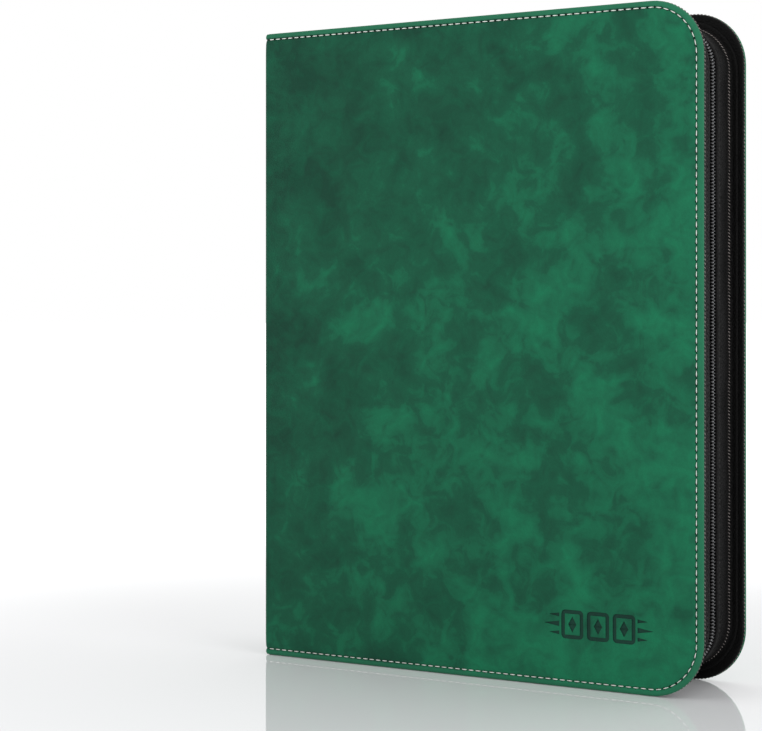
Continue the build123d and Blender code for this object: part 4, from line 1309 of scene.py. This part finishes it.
class BINDER_OT_stage(SceneGroup, bpy.types.Operator):
    """Set up the floor, the studio light and the camera"""
    bl_idname = "card_binder.stage"
    bl_label = "Stage, light and camera"

    def execute(self, context):
        settings = context.scene.card_binder_stage
        scene = context.scene
        scene.view_settings.view_transform = "Standard"
        material, tree, shader, place = start_material("glossy_white_acrylic_floor")
        smear = speckle(tree, place, 300, 3.0)
        gloss = rescale(tree, smear, to_high=0.012)
        set_inputs(tree, shader, {"Roughness": gloss})
        # Painted light: the floor glows by emission, more the farther it lies from the binder, standing in
        # for a lit sweep, so that no horizon shows.
        away = add_node(tree, VECTOR_MATH, {0: place}, operation="LENGTH")
        painted_floor_glow = rescale(tree, away.outputs["Value"], 0.25, 0.9, 0.06, 0.6, interpolation_type="SMOOTHSTEP")
        set_inputs(tree, shader, {
            "Emission Strength": painted_floor_glow,
            "Emission Color": (1.0, 1.0, 1.0, 1.0),
            "Base Color": linear("#F4F5F7"),
            "Specular IOR Level": 0.5,
        })
        shape = bmesh.new()
        bmesh.ops.create_grid(shape, x_segments=8, y_segments=8, size=30.0)
        mesh = bpy.data.meshes.new("studio_floor")
        shape.to_mesh(mesh)
        shape.free()
        mesh.materials.append(material)
        floor = bpy.data.objects.new("studio_floor", mesh)
        floor.location.z = -0.0002
        scene.collection.objects.link(floor)
        world = bpy.data.worlds.new("studio")
        scene.world = world
        world.use_nodes = True
        tree, background = world.node_tree, world.node_tree.nodes["Background"]
        set_inputs(tree, background, {"Color": (1.0, 1.0, 1.0, 1.0)})
        # The surround is white to the eye and in reflections, and softer as a light.
        path = add_node(tree, "ShaderNodeLightPath")
        seen = maths(tree, "MAXIMUM", path.outputs["Is Camera Ray"], path.outputs["Is Glossy Ray"])
        strength = rescale(tree, seen, to_low=settings.sky_strength, to_high=1.0)
        set_inputs(tree, background, {"Strength": strength})
        for name, position, size, power in (
            ("key_softbox", (-0.9, -1.6, 1.5), 1.4, settings.key_power),
            ("side_softbox", (1.5, -0.5, 0.9), 1.0, settings.side_power),
            ("top_softbox", (0.2, 0.4, 1.9), 1.2, settings.top_power),
        ):
            light = bpy.data.lights.new(name, "AREA")
            light.size, light.energy = size, power
            lamp = bpy.data.objects.new(name, light)
            lamp.location = position
            lamp.visible_glossy = False  # the glossy floor would show the lamp's square edges
            lamp.rotation_euler = (Vector((0, 0, 0.17)) - Vector(position)).to_track_quat("-Z",
                    "Y").to_euler()
            scene.collection.objects.link(lamp)
        lens = bpy.data.cameras.new("camera")
        lens.lens = settings.focal_pixels * lens.sensor_width / IMAGE_WIDTH
        lens.shift_x, lens.shift_y = settings.shift_x, settings.shift_y
        lens.clip_start, lens.clip_end = 0.05, 30
        camera = bpy.data.objects.new("camera", lens)
        camera.location = settings.camera_place
        camera.rotation_euler = (radians(90), 0, settings.camera_azimuth)
        scene.collection.objects.link(camera)
        scene.camera = camera
        return {"FINISHED"}


# ---------------------------------------------------------------- settings
def millimetres(name, description, default):
    """A length setting whose default is given in millimetres."""
    return FloatProperty(name=name, description=description, default=default * MM, unit="LENGTH")


def colour_setting(name, description, default):
    """A colour setting whose default is given as an sRGB hex colour."""
    return FloatVectorProperty(name=name, description=description, subtype="COLOR", size=4,
                               default=linear(default),
                               min=0, max=1)


class CoverSettings(bpy.types.PropertyGroup):
    """Sizes and colours of the covers"""
    stitch_pitch: millimetres("Stitch pitch", "Distance from one stitch to the next", 4.1)
    stitch_length: millimetres("Stitch length", "Length of the thread that shows between two needle holes",
                               3.0)
    mark_x: millimetres("Mark across", "Middle of the pressed mark, from the binder's middle", 74.5)
    mark_z: millimetres("Mark height", "Middle of the pressed mark, above the lower edge", 32.4)
    mark_depth: millimetres("Mark depth", "How deep the mark is pressed", 0.45)
    dark_green: colour_setting("Dark green", "Leather where the wax has pooled", GREENS[0])
    middle_green: colour_setting("Green", "Main colour of the leather", GREENS[1])
    bright_green: colour_setting("Bright green", "Leather where it has been stretched or rubbed", GREENS[2])


class ZipSettings(bpy.types.PropertyGroup):
    """Sizes of the zip and gussets"""
    tooth_pitch: millimetres("Tooth pitch", "Distance from one coil tooth to the next", 1.68)
    gusset_waviness: millimetres("Gusset waviness", "How far the fabric wall swells and dips", 0.8)


class PageSettings(bpy.types.PropertyGroup):
    """Sizes of the pages and cards"""
    card_width: millimetres("Card width", "Width of a standard trading card", 63.5)
    card_height: millimetres("Card height", "Height of a standard trading card", 88.9)
    pocket_pitch_x: millimetres("Pocket pitch across", "Distance between pocket columns", 66.6)
    pocket_pitch_z: millimetres("Pocket pitch up", "Distance between pocket rows", 94.6)
    stack_pages: IntProperty(name="Pages in a stack",
                             description="Pages that lie together against each cover", default=6, min=1)
    stack_pitch: millimetres("Page pitch", "Distance between two pages of a stack", 1.31)


class StageSettings(bpy.types.PropertyGroup):
    """Camera and studio light"""
    camera_place: FloatVectorProperty(name="Camera place", description="Where the camera stands",
            subtype="XYZ", unit="LENGTH", size=3, default=(0.51517, -0.96860, 0.19321))
    camera_azimuth: FloatProperty(name="Camera azimuth",
            description="How far round the camera stands from straight in front", subtype="ANGLE",
            default=radians(32.08))
    focal_pixels: FloatProperty(name="Focal length in image widths",
                                description="Focal length of the lens for a 762-wide image", default=2028.6)
    shift_x: FloatProperty(name="Shift across", description="Lens shift that frames the binder",
                           default=0.0388)
    shift_y: FloatProperty(name="Shift up", description="Lens shift that frames the binder",
                           default=-0.0729)
    sky_strength: FloatProperty(name="Surround", description="Strength of the white surround as a light",
                                default=0.62)
    key_power: FloatProperty(name="Key light", description="Power of the main softbox", default=6.0,
                             unit="POWER")
    side_power: FloatProperty(name="Side light", description="Power of the fore-edge softbox", default=7.0,
                              unit="POWER")
    top_power: FloatProperty(name="Top light", description="Power of the overhead softbox", default=5.0,
                             unit="POWER")


OPERATORS = (
    BINDER_OT_covers,
    BINDER_OT_stitching,
    BINDER_OT_linings,
    BINDER_OT_gussets,
    BINDER_OT_zip,
    BINDER_OT_slider,
    BINDER_OT_rings,
    BINDER_OT_pages,
    BINDER_OT_stage,
)
SETTINGS = {
    "card_binder_cover": CoverSettings,
    "card_binder_zip": ZipSettings,
    "card_binder_page": PageSettings,
    "card_binder_stage": StageSettings,
}


class BINDER_PT_panel(bpy.types.Panel):
    """Lists the binder's operators and settings"""
    bl_idname = "BINDER_PT_panel"
    bl_label = "Card binder"
    bl_space_type = "VIEW_3D"
    bl_region_type = "UI"
    bl_category = "Card binder"

    def draw(self, context):
        for operator in OPERATORS:
            self.layout.operator(operator.bl_idname)
        for name, group in SETTINGS.items():
            box = self.layout.box()
            for setting in group.__annotations__:
                box.prop(getattr(context.scene, name), setting)


def register():
    """Adds the settings, operators and panel to Blender."""
    for cls in (*SETTINGS.values(), *OPERATORS, BINDER_PT_panel):
        bpy.utils.register_class(cls)
    for name, group in SETTINGS.items():
        setattr(bpy.types.Scene, name, PointerProperty(type=group))


def unregister():
    """Takes them away again."""
    for name in SETTINGS:
        delattr(bpy.types.Scene, name)
    for cls in (BINDER_PT_panel, *OPERATORS, *SETTINGS.values()):
        bpy.utils.unregister_class(cls)


def main():
    """Builds every piece in order."""
    register()
    for operator in OPERATORS:
        group, name = operator.bl_idname.split(".")
        getattr(getattr(bpy.ops, group), name)()


if __name__ == "__main__":
    main()
